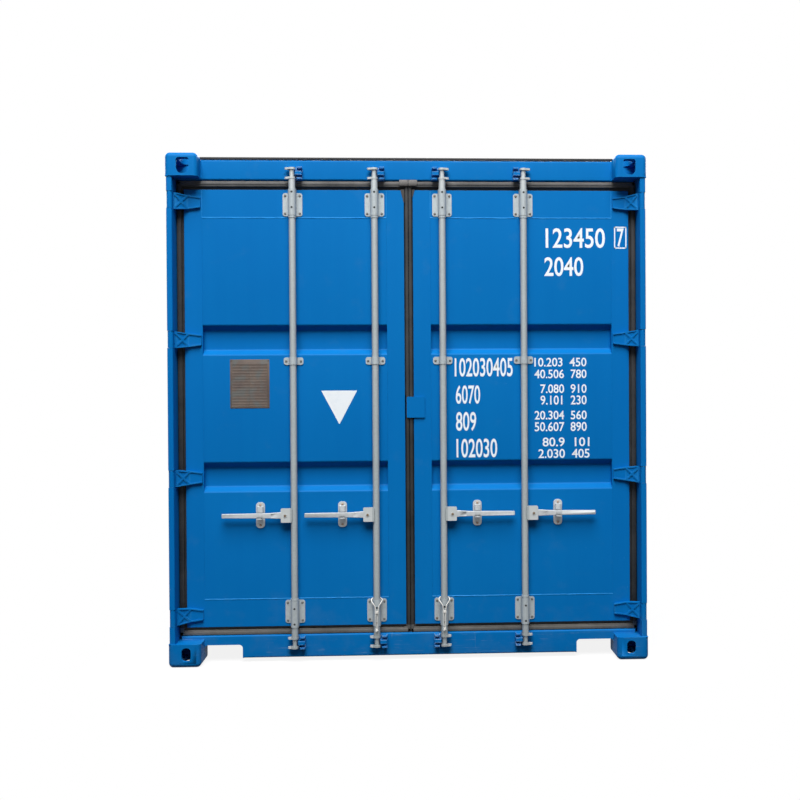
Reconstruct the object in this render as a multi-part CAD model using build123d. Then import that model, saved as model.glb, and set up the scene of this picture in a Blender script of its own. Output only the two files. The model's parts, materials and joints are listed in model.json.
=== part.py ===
from build123d import *
import math
import os

# Twenty-foot dry freight container, seen from its door end. Millimetres, +Z up, doors towards -Y.
# Depths are measured inwards from the end faces of the corner castings, and insets from their side faces.

# Outer size
LENGTH = 6058.0
WIDTH = 2438.0
HEIGHT = 2591.0

# Corner castings
SLOT_LENGTH = 124.0
SLOT_WIDTH = 63.5
SLOT_FROM_END = 102.5
SLOT_FROM_SIDE = 89.5
CASTING_BACK = 10.0
SLOT_TO_BACK = 13.5
CASTING_LENGTH = SLOT_FROM_END + SLOT_LENGTH / 2 + SLOT_TO_BACK
CASTING_WIDTH = 162.0
CASTING_HEIGHT = 118.0
CASTING_FACE = 28.0
CASTING_WALL = 16.0
CASTING_ROUND = 24.0
TOP_HOLE_WIDTH = 64.0
TOP_HOLE_HEIGHT = 80.0
BOTTOM_HOLE_WIDTH = 46.0
BOTTOM_HOLE_HEIGHT = 68.0
HOLE_FROM_FACE = 67.0
TOP_HOLE_SHOULDER = 12.0
BOTTOM_HOLE_SHOULDER = 20.0
HOLE_ROUNDNESS = 0.45

# Corner posts
POST_INSET = 6.0
POST_STRIP = 29.0
POST_WALL = 6.0
POST_STOP = 14.0
POST_BEND = 6.5
FRONT_POST_SIDE = 104.0
FRONT_POST_RETURN = 48.0

# Base frame
RAIL_CLEARANCE = 12.5
RAIL_INSET = 4.0
RAIL_HEIGHT = 162.0
RAIL_TOP_FLANGE = 48.0
RAIL_FOOT_FLANGE = 30.0
RAIL_WALL = 4.5
CROSS_HEIGHT = 122.0
CROSS_FROM_SILL = 260.0
CROSS_FLANGE = 45.0
CROSS_WALL = 4.0
CROSS_PITCH = 296.0
FLOOR_THICKNESS = 28.0
FORK_SPACING = 2050.0
FORK_WIDTH = 360.0
FORK_PLATE = 4.0
FORK_STRAP = 200.0
FORK_STRAP_THICKNESS = 6.0

# Top frame and skins
TOP_RAIL = 60.0
TOP_RAIL_WALL = 3.0
TOP_CLEARANCE = 6.0
SHEET = 2.0
SIDE_CREST = 72.0
SIDE_SLOPE = 68.0
SIDE_TROUGH = 70.0
SIDE_DEPTH = 36.0
FRONT_CREST = 110.0
FRONT_SLOPE = 18.0
FRONT_TROUGH = 104.0
FRONT_DEPTH = 45.0
ROOF_CREST = 91.0
ROOF_SLOPE = 13.5
ROOF_TROUGH = 91.0
ROOF_DEPTH = 20.0
ROOF_EDGE = 50.0

# Door end frame
HEADER_DEPTH = 94.0
HEADER_HEIGHT = 100.0
HEADER_DROP = 22.0
HEADER_LIP = 17.0
HEADER_WALL = 4.5
HEADER_BEND = 9.0
SILL_FOOT = 22.0
SILL_TOP = 137.5
SILL_RISE = 3.5
SILL_WALL = 5.0
SILL_BEND = 8.0
SILL_STEP_BEND = 3.0
SILL_FLANGE = 56.0
NOTCH_WIDTH = 195.0
NOTCH_HEIGHT = 90.0
NOTCH_ROUND = 18.0

# Door leaves
DOOR_FACE = 98.0
LEAF_THICKNESS = 50.0
LEAF_SIDE_GAP = 40.5
LEAF_TOP_GAP = 48.5
LEAF_FOOT_GAP = 44.5
LEAF_CENTRE_GAP = 46.0
STILE_WIDTH = 90.0
STILE_WALL = 3.2
DOOR_RAIL = 142.0
DOOR_RAIL_WALL = 3.0
RECESS_HEIGHT = 152.0
RECESS_SLOPE = 26.0
RECESS_DEPTH = 36.0
PANEL_BEND = 12.0

# Door seals
SEAL_START = 5.0
SEAL_STEP = 14.0
SEAL_GROOVE = 0.4
SEAL_STOP_GAP = 1.0
SEAL_EDGE_GAP = 5.0
SEAL_CENTRE_GAP = 14.0
SEAL_ROUND = 3.5

# Door hinges
HINGE_AXIS = 21.0
HINGE_BARREL = 14.5
HINGE_PIN = 8.0
HINGE_PIN_FIT = 0.25
HINGE_HEIGHT = 84.0
HINGE_END_GAP = 1.5
HINGE_LUG = 14.0
HINGE_FROM_EDGE = 66.0
HINGE_COUNT = 4
HINGE_POCKET = 70.0
BLADE_OFFSET = 24.0
BLADE_THICKNESS = 13.0
BLADE_TIP_THICKNESS = 10.0
BLADE_REACH = 84.0
BLADE_TIP_HEIGHT = 52.0
BLADE_POST_GAP = 6.0
BLADE_EYE_BACK = 9.0
BLADE_EYE_FRONT = 13.0
BLADE_RIB = 5.0
BLADE_RIB_WIDTH = 8.0
BLADE_RIB_ANGLE = 50.0
BLADE_RIM = 6.0

# Locking bars, cams and keepers
BAR_RADIUS = 17.0
BAR_BORE = 13.8
BAR_DEPTH = 73.0
INNER_BAR_FROM_EDGE = 150.5
BAR_SPACING = 419.0
CAM_HEIGHT = 58.0
CAM_FLANGE = 10.0
CAM_CORE = 12.0
CAM_BOSS = 19.0
CAM_REACH = 27.0
CAM_TIP = 9.0
CAM_ABOVE_HEADER = 31.0
CAM_BELOW_SILL = 36.0
KEEPER_START = 16.0
KEEPER_WIDTH = 36.0
KEEPER_PLATE = 6.0
KEEPER_HEIGHT = 64.0
KEEPER_LUG = 20.0
KEEPER_EAR = 9.0
KEEPER_EAR_WIDTH = 27.0
KEEPER_REACH = 38.0
KEEPER_ROUND = 6.0

# Bar brackets and guides
BRACKET_WIDTH = 100.0
BRACKET_HEIGHT = 118.0
BRACKET_FLANGE = 4.0
BRACKET_ARCH = 3.1
BRACKET_FIT = 0.4
BRACKET_FROM_EDGE = 17.0
BRACKET_CORNER = 12.0
BRACKET_HOLE = 4.0
BRACKET_HOLE_SPACING = 79.0
GUIDE_HEIGHT = 38.0
GUIDE_BELOW_RECESS = 33.0

# Handles, hubs and retainers
HANDLE_ABOVE_LEAF = 573.0
HUB_HEIGHT = 71.0
HUB_REACH = 66.0
HUB_START = 10.0
HUB_FRONT = 20.5
HUB_SLOT = 22.0
HUB_CORNER = 5.0
HUB_CHEEK = 5.0
HUB_FIT = 0.5
HUB_PIN_REACH = 44.0
HUB_PIN = 7.0
HUB_PIN_FIT = 0.2
HUB_PIN_HEAD = 9.0
HUB_PIN_HEAD_THICKNESS = 3.0
HANDLE_LENGTH = 365.0
HANDLE_THICKNESS = 13.0
HANDLE_ROOT = 36.0
HANDLE_GRIP = 26.0
HANDLE_TIP = 22.0
HANDLE_CRANK = 5.0
HANDLE_SHELF_GAP = 1.0
HANDLE_ROUND = 3.0
RETAINER_REACH = 174.0
RETAINER_WIDTH = 45.0
RETAINER_HEIGHT = 132.0
RETAINER_END = 18.0
RETAINER_PLATE = 5.0
RETAINER_PAD = 16.0
RETAINER_PAD_WIDTH = 30.0
RETAINER_PAD_TOP = 44.0
RETAINER_SHELF = 6.0
RETAINER_ROUND = 6.0

# Plates on the doors
DATA_PLATE_WIDTH = 200.0
DATA_PLATE_HEIGHT = 250.0
DATA_PLATE_THICKNESS = 1.5
DATA_PLATE_CORNER = 8.0
DATA_PLATE_FROM_GUIDE = 74.0
DATA_PLATE_FOOT = 1303.0
OVERLAP_REACH = 14.0
OVERLAP_WIDTH = 93.0
OVERLAP_HEIGHT = 108.0
OVERLAP_FOOT = 1249.0
OVERLAP_THICKNESS = 8.0
OVERLAP_SEAL_GAP = 9.0
OVERLAP_CORNER = 6.0

# Tie ropes: points from the inner bar's axis and the leaf's foot, up its front, round its back and down again
ROPE = 3.0
ROPE_FIT = 0.3
ROPE_ROUTE = [
    (-3.6, -26.5, -19.0),
    (-3.6, -26.5, 96.0),
    (-19.0, -25.5, 119.0),
    (-30.0, -8.0, 134.0),
    (-21.0, 21.2, 141.0),
    (21.0, 21.2, 141.0),
    (30.0, -8.0, 134.0),
    (19.0, -25.5, 119.0),
    (3.6, -26.5, 96.0),
    (3.6, -26.5, -19.0),
]
ROPE_BEND = 0.45
WHIPPING_WIDTH = 19.0
WHIPPING_DEPTH = 9.0
WHIPPING_CORNER = 4.0
WHIPPING_HEIGHT = 14.0
WHIPPING_RISE = 66.0
KNOT_WIDTH = 17.0
KNOT_DEPTH = 13.0
KNOT_CORNER = 5.0
KNOT_HEIGHT = 16.0
KNOT_DROP = 7.0

# Levels and edges worked out from the sizes above
left_side = -WIDTH / 2
door_end = -LENGTH / 2
front_end = LENGTH / 2
top_castings_foot = HEIGHT - CASTING_HEIGHT
roof_level = HEIGHT - TOP_CLEARANCE
top_rail_foot = roof_level - TOP_RAIL
rail_top = RAIL_CLEARANCE + RAIL_HEIGHT
cross_foot = RAIL_CLEARANCE + RAIL_WALL
cross_top = cross_foot + CROSS_HEIGHT
floor_top = cross_top + FLOOR_THICKNESS
rail_web = RAIL_INSET + RAIL_WALL
post_inner = POST_INSET + POST_STRIP
stop_inner = post_inner + POST_STOP
stop_depth = DOOR_FACE + LEAF_THICKNESS - 2
header_top = HEIGHT - HEADER_DROP
header_foot = header_top - HEADER_HEIGHT
leaf_top = header_foot - LEAF_TOP_GAP
leaf_foot = SILL_TOP + LEAF_FOOT_GAP
leaf_edge = left_side + post_inner + LEAF_SIDE_GAP
leaf_lock = -LEAF_CENTRE_GAP / 2
panel_foot = leaf_foot + DOOR_RAIL
panel_top = leaf_top - DOOR_RAIL
hinge_step = (leaf_top - leaf_foot - 2 * HINGE_FROM_EDGE) / (HINGE_COUNT - 1)
hinge_heights = [leaf_foot + HINGE_FROM_EDGE + hinge_step * n for n in range(HINGE_COUNT)]
hinge_x = left_side + HINGE_AXIS
hinge_y = door_end + HINGE_AXIS
recess_centres = hinge_heights[1:-1]
inner_bar = leaf_lock - INNER_BAR_FROM_EDGE
bar_places = [inner_bar - BAR_SPACING, inner_bar]
bar_y = door_end + BAR_DEPTH
face_y = door_end + DOOR_FACE
handle_z = leaf_foot + HANDLE_ABOVE_LEAF
top_cam_foot = header_foot + CAM_ABOVE_HEADER - CAM_HEIGHT / 2
foot_cam_foot = SILL_TOP - CAM_BELOW_SILL - CAM_HEIGHT / 2


def span(x0, x1, y0, y1, z0, z1):
    """A block between two opposite corners."""
    middle = Pos((x0 + x1) / 2, (y0 + y1) / 2, (z0 + z1) / 2)
    return middle * Box(abs(x1 - x0), abs(y1 - y0), abs(z1 - z0))


def outline(points):
    """A flat face inside a closed run of points."""
    return make_face(Polyline(*points, close=True))


def upright(plan, z0, z1):
    """A plan face in X and Y raised between two heights."""
    return Pos(0, 0, z0) * extrude(plan, z1 - z0)


def crossways(section, x0, x1):
    """A section face in Y and Z run between two places along X."""
    return Pos(x0, 0, 0) * extrude(Plane.YZ * section, x1 - x0)


def lengthways(section, y0, y1):
    """A section face in X and Z run between two places along Y."""
    return Pos(0, y0, 0) * extrude(Plane.XZ * section, y0 - y1)


def nosed(block, radius):
    """A block with its two upright front edges rounded."""
    return fillet(block.edges().filter_by(Axis.Z).group_by(Axis.Y)[0], radius)


def bent(path, thickness, bend):
    """The section of a pressed sheet: a path with rounded bends, thickened left, or right if negative."""
    side = Side.LEFT if thickness > 0 else Side.RIGHT
    sheet = offset(FilletPolyline(*path, radius=bend), abs(thickness), side=side)
    return make_face(sheet.edges())


def folded(path, thickness):
    """The outline of a folded sheet: a path, and the same path offset to its left with mitred bends."""
    normals = []
    for start, end in zip(path, path[1:]):
        run = Vector(*end) - Vector(*start)
        normals.append(Vector(-run.Y, run.X).normalized())
    offset_path = []
    for index, point in enumerate(path):
        before = normals[max(index - 1, 0)]
        after = normals[min(index, len(normals) - 1)]
        shift = (before + after) * (thickness / (1 + before.dot(after)))
        offset_path.append((point[0] + shift.X, point[1] + shift.Y))
    return path + offset_path[::-1]


def ribbed(start, end, crest, slope, trough, depth):
    """A path of (run, depth) points for a sheet with as many trapezoid ribs as fit between its two ends."""
    pitch = crest + trough + 2 * slope
    count = int((end - start - crest) // pitch)
    run = start + (end - start - count * pitch + crest) / 2
    path = [(start, 0)]
    for _ in range(count):
        path.append((run, 0))
        path.append((run + slope, depth))
        path.append((run + slope + trough, depth))
        path.append((run + 2 * slope + trough, 0))
        run += pitch
    path.append((end, 0))
    return path


def mirrored(shape):
    """The same piece on the right-hand side."""
    return mirror(shape, about=Plane.YZ)


def save(name, *pieces):
    """One file for each node, with its separate solids."""
    solids = [solid for piece in pieces for solid in piece.solids()]
    export_step(Compound(label=name, children=solids), f"parts/{name}.step")


def casting_hole(width, height, shoulder):
    """A shield-shaped hole, shouldered towards the outer face and round at its other end."""
    shield = Rectangle(width, height)
    shield = fillet(shield.vertices().group_by(Axis.Y)[0], width * HOLE_ROUNDNESS)
    return fillet(shield.vertices().group_by(Axis.Y)[-1], shoulder)


def casting(hole_width, hole_height, hole_shoulder):
    """A top casting with its outer corner at the origin, reaching towards +X, +Y and -Z."""
    body = span(0, CASTING_WIDTH, 0, CASTING_LENGTH, -CASTING_HEIGHT, 0)
    rounded = body.faces().sort_by(Axis.Z)[-1].edges() + body.faces().sort_by(Axis.Y)[0].edges()
    rounded = [edge for edge in set(rounded) if edge.center().Y < CASTING_LENGTH]
    body = fillet([edge for edge in rounded if edge.center().Z > -CASTING_HEIGHT], CASTING_ROUND)
    body -= span(
        CASTING_WALL, CASTING_WIDTH - CASTING_BACK,
        CASTING_WALL, CASTING_LENGTH - CASTING_BACK,
        CASTING_BACK - CASTING_HEIGHT, -CASTING_FACE,
    )
    slot = extrude(Rot(0, 0, 90) * SlotOverall(SLOT_LENGTH, SLOT_WIDTH), -CASTING_FACE)
    body -= Pos(SLOT_FROM_SIDE, SLOT_FROM_END, 0) * slot
    hole = casting_hole(hole_width, hole_height, hole_shoulder)
    body -= Pos(SLOT_FROM_SIDE, 0, -HOLE_FROM_FACE) * extrude(Plane.XZ * hole, -CASTING_WALL)
    body -= Pos(0, SLOT_FROM_END, -HOLE_FROM_FACE) * extrude(Plane.YZ * hole, CASTING_WALL)
    return body


def casting_room(top):
    """The blocks that the four top or bottom castings fill."""
    low = top_castings_foot if top else 0
    corner = span(
        left_side, left_side + CASTING_WIDTH, door_end, door_end + CASTING_LENGTH, low, low + CASTING_HEIGHT
    )
    door_pair = [corner, mirrored(corner)]
    return door_pair + [mirror(block, about=Plane.XZ) for block in door_pair]


def clear_of_castings(shape):
    """A rail, sill or skin trimmed where it meets the castings."""
    for block in casting_room(True) + casting_room(False):
        shape -= block
    return shape


def make_castings():
    top = casting(TOP_HOLE_WIDTH, TOP_HOLE_HEIGHT, TOP_HOLE_SHOULDER)
    top = Pos(left_side, door_end, HEIGHT) * top
    foot = casting(BOTTOM_HOLE_WIDTH, BOTTOM_HOLE_HEIGHT, BOTTOM_HOLE_SHOULDER)
    foot = Pos(left_side, door_end, 0) * mirror(foot, about=Plane.XY)
    for level, piece in (("top", top), ("bottom", foot)):
        front = mirror(piece, about=Plane.XZ)
        save(f"rear_{level}_castings", piece, mirrored(piece))
        save(f"front_{level}_castings", front, mirrored(front))


def rear_post():
    """The door post: a closed pressing with a stop for the seal, cut open at each hinge."""
    plan = outline([
        (left_side + POST_INSET, door_end + POST_INSET),
        (left_side + post_inner, door_end + POST_INSET),
        (left_side + post_inner, door_end + stop_depth),
        (left_side + stop_inner, door_end + stop_depth),
        (left_side + stop_inner, door_end + CASTING_LENGTH),
        (left_side + POST_INSET, door_end + CASTING_LENGTH),
    ])
    plan = fillet(plan.vertices().sort_by(Axis.Y)[:-2], POST_BEND)
    plan -= offset(plan, -POST_WALL, kind=Kind.INTERSECTION)
    post = upright(plan, CASTING_HEIGHT, top_castings_foot)
    inner = (left_side + POST_INSET + POST_WALL, left_side + post_inner - POST_WALL)
    half = HINGE_HEIGHT / 2 + HINGE_END_GAP
    for height in hinge_heights:
        lug_ends = (height - half - HINGE_LUG, height + half + HINGE_LUG)
        post += span(*inner, door_end + POST_INSET, door_end + HINGE_POCKET + POST_WALL, *lug_ends)
        post -= span(
            left_side, left_side + post_inner, door_end, door_end + HINGE_POCKET, height - half, height + half
        )
        post -= Pos(hinge_x, hinge_y, height) * Cylinder(HINGE_PIN, 2 * (half + HINGE_LUG))
    return post


def hinge_pins():
    length = HINGE_HEIGHT + 2 * (HINGE_END_GAP + HINGE_LUG)
    return [Pos(hinge_x, hinge_y, height) * Cylinder(HINGE_PIN, length) for height in hinge_heights]


def hinge_blade():
    """One cranked hinge blade about its own height: a barrel, a tapered tip, raised rims and crossed ribs."""
    root_y = hinge_y + BLADE_OFFSET
    crank_y = root_y + BLADE_THICKNESS
    crank_x = left_side + post_inner + BLADE_POST_GAP
    tip_x = leaf_edge + BLADE_REACH
    tip_y = face_y - BLADE_TIP_THICKNESS
    land_x = leaf_edge + BLADE_THICKNESS
    rest_x = land_x + BLADE_TIP_THICKNESS
    plan = outline([
        (hinge_x - BLADE_EYE_BACK, hinge_y),
        (hinge_x + BLADE_EYE_FRONT, hinge_y),
        (hinge_x + BLADE_EYE_FRONT, root_y),
        (crank_x, root_y),
        (rest_x, tip_y),
        (tip_x, tip_y),
        (tip_x, face_y),
        (land_x, face_y),
        (crank_x - BLADE_THICKNESS / 2, crank_y),
        (hinge_x - BLADE_EYE_BACK, crank_y),
    ])
    half, tip_half = HINGE_HEIGHT / 2, BLADE_TIP_HEIGHT / 2
    side = blade_side(crank_x, tip_x, half, tip_half)
    ridges = side - blade_side(crank_x, tip_x, half - BLADE_RIM, tip_half - BLADE_RIM)
    for turn in (BLADE_RIB_ANGLE, -BLADE_RIB_ANGLE):
        strip = Rot(0, 0, turn) * Rectangle(2 * HINGE_HEIGHT, BLADE_RIB_WIDTH)
        cross = Pos((crank_x + rest_x) / 2, 0) * (strip & Rectangle(rest_x - crank_x, HINGE_HEIGHT))
        ridges += cross & side
    ridges &= Pos((crank_x + tip_x) / 2, 0) * Rectangle(tip_x - crank_x, HINGE_HEIGHT)
    blade = upright(plan, -half, half) & lengthways(side, door_end, face_y)
    blade += upright(Pos(0, -BLADE_RIB) * plan, -half, half) & lengthways(ridges, door_end, face_y)
    blade += Pos(hinge_x, hinge_y, 0) * Cylinder(HINGE_BARREL, HINGE_HEIGHT)
    return blade - Pos(hinge_x, hinge_y, 0) * Cylinder(HINGE_PIN + HINGE_PIN_FIT, HINGE_HEIGHT)


def blade_side(crank_x, tip_x, half, tip_half):
    """A blade's outline from the front: level as far as its crank, then tapered to its tip."""
    return outline([
        (left_side, -half),
        (crank_x, -half),
        (tip_x, -tip_half),
        (tip_x, tip_half),
        (crank_x, half),
        (left_side, half),
    ])


def door_header():
    """A box header with a lip that stops the doors' top seals."""
    front, back = door_end + HEADER_DEPTH, door_end + CASTING_LENGTH
    stop = door_end + stop_depth
    lip = header_foot - HEADER_LIP
    slope = roof_level - header_top
    section = [
        (front, header_foot),
        (stop, header_foot),
        (stop, lip),
        (back, lip),
        (back, roof_level),
        (front + 2 * slope, roof_level),
        (front, header_top),
    ]
    face = outline(section)
    face = fillet(face.vertices().sort_by(Axis.X)[:2], HEADER_BEND)
    face -= offset(face, -HEADER_WALL, kind=Kind.INTERSECTION)
    reach = WIDTH / 2 - stop_inner
    return clear_of_castings(crossways(face, -reach, reach))


def door_sill():
    """A pressed sill with a step for the bottom seals and a notch beside each casting."""
    front, stop = door_end + HEADER_DEPTH, door_end + stop_depth
    path = [
        (door_end + CASTING_LENGTH, floor_top),
        (stop, floor_top),
        (stop, SILL_TOP + SILL_RISE),
        (front, SILL_TOP),
        (front, SILL_FOOT),
        (front + SILL_FLANGE, SILL_FOOT),
    ]
    reach = WIDTH / 2 - stop_inner
    section = bent(path, SILL_WALL, [SILL_BEND, SILL_STEP_BEND, SILL_BEND, SILL_BEND])
    sill = clear_of_castings(crossways(section, -reach, reach))
    notch_end = WIDTH / 2 - CASTING_WIDTH
    notch_start = notch_end - NOTCH_WIDTH
    for x0, x1 in ((notch_start, notch_end), (-notch_end, -notch_start)):
        notch = Rectangle(NOTCH_WIDTH, NOTCH_HEIGHT - SILL_FOOT)
        notch = fillet(notch.vertices().group_by(Axis.Y)[-1], NOTCH_ROUND)
        notch = Pos((x0 + x1) / 2, (SILL_FOOT + NOTCH_HEIGHT) / 2) * notch
        sill -= lengthways(notch, front, front + SILL_FLANGE)
        sill += span(x0, x1, front + SILL_WALL, front + SILL_FLANGE, NOTCH_HEIGHT, NOTCH_HEIGHT + SILL_WALL)
    for x0, x1 in ((notch_start - SILL_WALL, notch_start), (-notch_start, SILL_WALL - notch_start)):
        sill += span(x0, x1, front, front + SILL_FLANGE, SILL_FOOT, NOTCH_HEIGHT + SILL_WALL)
    return sill


def front_post():
    """The blind-end post: one pressing with returned edges, open towards the load."""
    far = POST_INSET + FRONT_POST_SIDE
    path = [
        (POST_INSET + FRONT_POST_RETURN, far),
        (POST_INSET, far),
        (POST_INSET, POST_INSET),
        (far, POST_INSET),
        (far, POST_INSET + FRONT_POST_RETURN),
    ]
    plan = [(left_side + inset, front_end - depth) for inset, depth in folded(path, POST_WALL)]
    return upright(outline(plan), CASTING_HEIGHT, top_castings_foot)


def front_bottom_rail():
    web = front_end - POST_INSET
    path = [
        (web - RAIL_TOP_FLANGE, RAIL_CLEARANCE),
        (web, RAIL_CLEARANCE),
        (web, rail_top),
        (web - RAIL_TOP_FLANGE, rail_top),
    ]
    reach = WIDTH / 2 - POST_INSET - FRONT_POST_SIDE
    return clear_of_castings(crossways(outline(folded(path, RAIL_WALL)), -reach, reach))


def square_tube(near, low):
    """A square rail's section of (across, height) points as a face with a hollow."""
    hollow = TOP_RAIL - 2 * TOP_RAIL_WALL
    tube = Rectangle(TOP_RAIL, TOP_RAIL) - Rectangle(hollow, hollow)
    return Pos(near + TOP_RAIL / 2, low + TOP_RAIL / 2) * tube


def front_top_rail():
    reach = WIDTH / 2 - CASTING_WIDTH
    tube = Plane.YZ * square_tube(front_end - RAIL_INSET - TOP_RAIL, top_rail_foot)
    return Pos(-reach, 0, 0) * extrude(tube, 2 * reach)


def top_side_rail():
    reach = LENGTH / 2 - CASTING_LENGTH
    tube = Plane.XZ * square_tube(left_side + RAIL_INSET, top_rail_foot)
    return Pos(0, -reach, 0) * extrude(tube, -2 * reach)


def bottom_side_rail():
    """A channel along the base, cut through at the fork pockets."""
    web = left_side + RAIL_INSET
    path = [
        (web + RAIL_TOP_FLANGE, rail_top),
        (web, rail_top),
        (web, RAIL_CLEARANCE),
        (web + RAIL_FOOT_FLANGE, RAIL_CLEARANCE),
    ]
    reach = LENGTH / 2 - CASTING_LENGTH
    rail = lengthways(outline(folded(path, RAIL_WALL)), -reach, reach)
    for place in (-FORK_SPACING / 2, FORK_SPACING / 2):
        rail -= span(
            web, web + RAIL_WALL, place - FORK_WIDTH / 2, place + FORK_WIDTH / 2,
            cross_foot + FORK_STRAP_THICKNESS, cross_top - FORK_PLATE,
        )
    return rail


def fork_pocket(place):
    """A fork tunnel: two sides and a roof from rail to rail, closed below by a strap at each end."""
    reach = WIDTH / 2 - rail_web
    half = FORK_WIDTH / 2
    tunnel = span(-reach, reach, place - half - FORK_PLATE, place + half + FORK_PLATE, cross_foot, cross_top)
    tunnel -= span(
        -reach, reach, place - half, place + half, cross_foot + FORK_STRAP_THICKNESS, cross_top - FORK_PLATE
    )
    gap = reach - FORK_STRAP
    return tunnel - span(-gap, gap, place - half, place + half, cross_foot, cross_foot + FORK_STRAP_THICKNESS)


def cross_members():
    """Channels between the bottom side rails, evenly spaced and left out where a fork tunnel passes."""
    reach = WIDTH / 2 - rail_web
    first = door_end + CASTING_LENGTH + CROSS_FROM_SILL
    last = front_end - CASTING_LENGTH - CROSS_FLANGE
    count = round((last - first) / CROSS_PITCH)
    members = []
    for index in range(count + 1):
        place = first + (last - first) * index / count
        room = FORK_WIDTH / 2 + 2 * FORK_PLATE + CROSS_FLANGE
        if abs(abs(place) - FORK_SPACING / 2) < room:
            continue
        path = [
            (place + CROSS_FLANGE / 2, cross_top),
            (place - CROSS_FLANGE / 2, cross_top),
            (place - CROSS_FLANGE / 2, cross_foot),
            (place + CROSS_FLANGE / 2, cross_foot),
        ]
        members.append(crossways(outline(folded(path, CROSS_WALL)), -reach, reach))
    return members


def side_wall():
    start, end = door_end + CASTING_LENGTH, front_end - POST_INSET - FRONT_POST_SIDE
    path = ribbed(start, end, SIDE_CREST, SIDE_SLOPE, SIDE_TROUGH, SIDE_DEPTH)
    plan = [(left_side + POST_INSET + depth, run) for run, depth in folded(path, SHEET)]
    return clear_of_castings(upright(outline(plan), rail_top, top_rail_foot))


def front_wall():
    reach = WIDTH / 2 - POST_INSET - FRONT_POST_SIDE
    path = ribbed(-reach, reach, FRONT_CREST, FRONT_SLOPE, FRONT_TROUGH, FRONT_DEPTH)
    plan = [(run, front_end - POST_INSET - depth) for run, depth in folded(path, SHEET)]
    return clear_of_castings(upright(outline(plan), rail_top, top_rail_foot))


def roof():
    """A sheet pressed with trays that stop short of the side rails."""
    start, end = door_end + CASTING_LENGTH, front_end - RAIL_INSET - TOP_RAIL
    path = ribbed(start, end, ROOF_CREST, ROOF_SLOPE, ROOF_TROUGH, ROOF_DEPTH)
    section = [(run, roof_level - depth) for run, depth in folded(path, SHEET)]
    reach = WIDTH / 2 - RAIL_INSET - TOP_RAIL
    trays = reach - ROOF_EDGE
    edges = [
        span(x0, x1, start, end, roof_level - SHEET, roof_level)
        for x0, x1 in ((-reach, -trays), (trays, reach))
    ]
    tray_ends = []
    for corner in range(1, len(path) - 1, 4):
        tray = outline([(run, roof_level - depth) for run, depth in path[corner:corner + 4]])
        tray_ends.append(crossways(tray, -trays, SHEET - trays))
        tray_ends.append(crossways(tray, trays - SHEET, trays))
    return clear_of_castings(crossways(outline(section), -trays, trays) + edges + tray_ends)


def floor_deck():
    reach = WIDTH / 2 - rail_web
    start, end = door_end + CASTING_LENGTH, front_end - POST_INSET - FRONT_DEPTH - SHEET
    deck = span(-reach, reach, start, end, cross_top, floor_top)
    posts = POST_INSET + FRONT_POST_SIDE
    for x0, x1 in ((-reach, left_side + posts), (WIDTH / 2 - posts, reach)):
        deck -= span(x0, x1, front_end - posts, end, cross_top, floor_top)
    return deck


def door_frame():
    """The left leaf's frame: two hollow stiles and two channel rails, welded."""
    back = face_y + LEAF_THICKNESS
    stiles = []
    for x0 in (leaf_edge, leaf_lock - STILE_WIDTH):
        stile = span(x0, x0 + STILE_WIDTH, face_y, back, leaf_foot, leaf_top)
        stile -= span(
            x0 + STILE_WALL, x0 + STILE_WIDTH - STILE_WALL, face_y + STILE_WALL, back - STILE_WALL,
            leaf_foot, leaf_top,
        )
        stiles.append(stile)
    frame = stiles[0] + stiles[1]
    for z0, z1 in ((leaf_foot, panel_foot), (panel_top, leaf_top)):
        path = [(back, z1), (face_y, z1), (face_y, z0), (back, z0)]
        rail = outline(folded(path, DOOR_RAIL_WALL))
        frame += crossways(rail, leaf_edge + STILE_WIDTH, leaf_lock - STILE_WIDTH)
    return frame


def door_panel():
    """The left leaf's sheet, pressed with two level recesses that end at the stiles."""
    path = [(panel_foot, 0)]
    for centre in recess_centres:
        mouth, flat = RECESS_HEIGHT / 2, RECESS_HEIGHT / 2 - RECESS_SLOPE
        path.append((centre - mouth, 0))
        path.append((centre - flat, RECESS_DEPTH))
        path.append((centre + flat, RECESS_DEPTH))
        path.append((centre + mouth, 0))
    path.append((panel_top, 0))
    section = bent([(face_y + depth, run) for run, depth in path], -SHEET, PANEL_BEND)
    return crossways(section, leaf_edge + STILE_WIDTH, leaf_lock - STILE_WIDTH)


def seal_ring(share, start):
    """The room that a share of the seal's width fills round the left leaf, from a depth behind its face."""
    side = (LEAF_SIDE_GAP - SEAL_EDGE_GAP) * share
    lock = (LEAF_CENTRE_GAP - SEAL_CENTRE_GAP) / 2 * share
    foot = (LEAF_FOOT_GAP - SEAL_EDGE_GAP) * share
    top = (LEAF_TOP_GAP - SEAL_EDGE_GAP) * share
    back = door_end + stop_depth - SEAL_STOP_GAP
    return span(
        leaf_edge - side, leaf_lock + lock, face_y + start, back, leaf_foot - foot, leaf_top + top
    )


def door_seal():
    """The left leaf's rubber seal: a ring with a groove beside the leaf and a raised outer lip."""
    lip = seal_ring(1.0, SEAL_START) - seal_ring(SEAL_GROOVE, SEAL_START)
    lip = fillet(lip.faces().sort_by(Axis.Y)[0].edges(), SEAL_ROUND)
    return lip + seal_ring(1.0, SEAL_START + SEAL_STEP) - seal_ring(0.0, 0.0)


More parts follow.
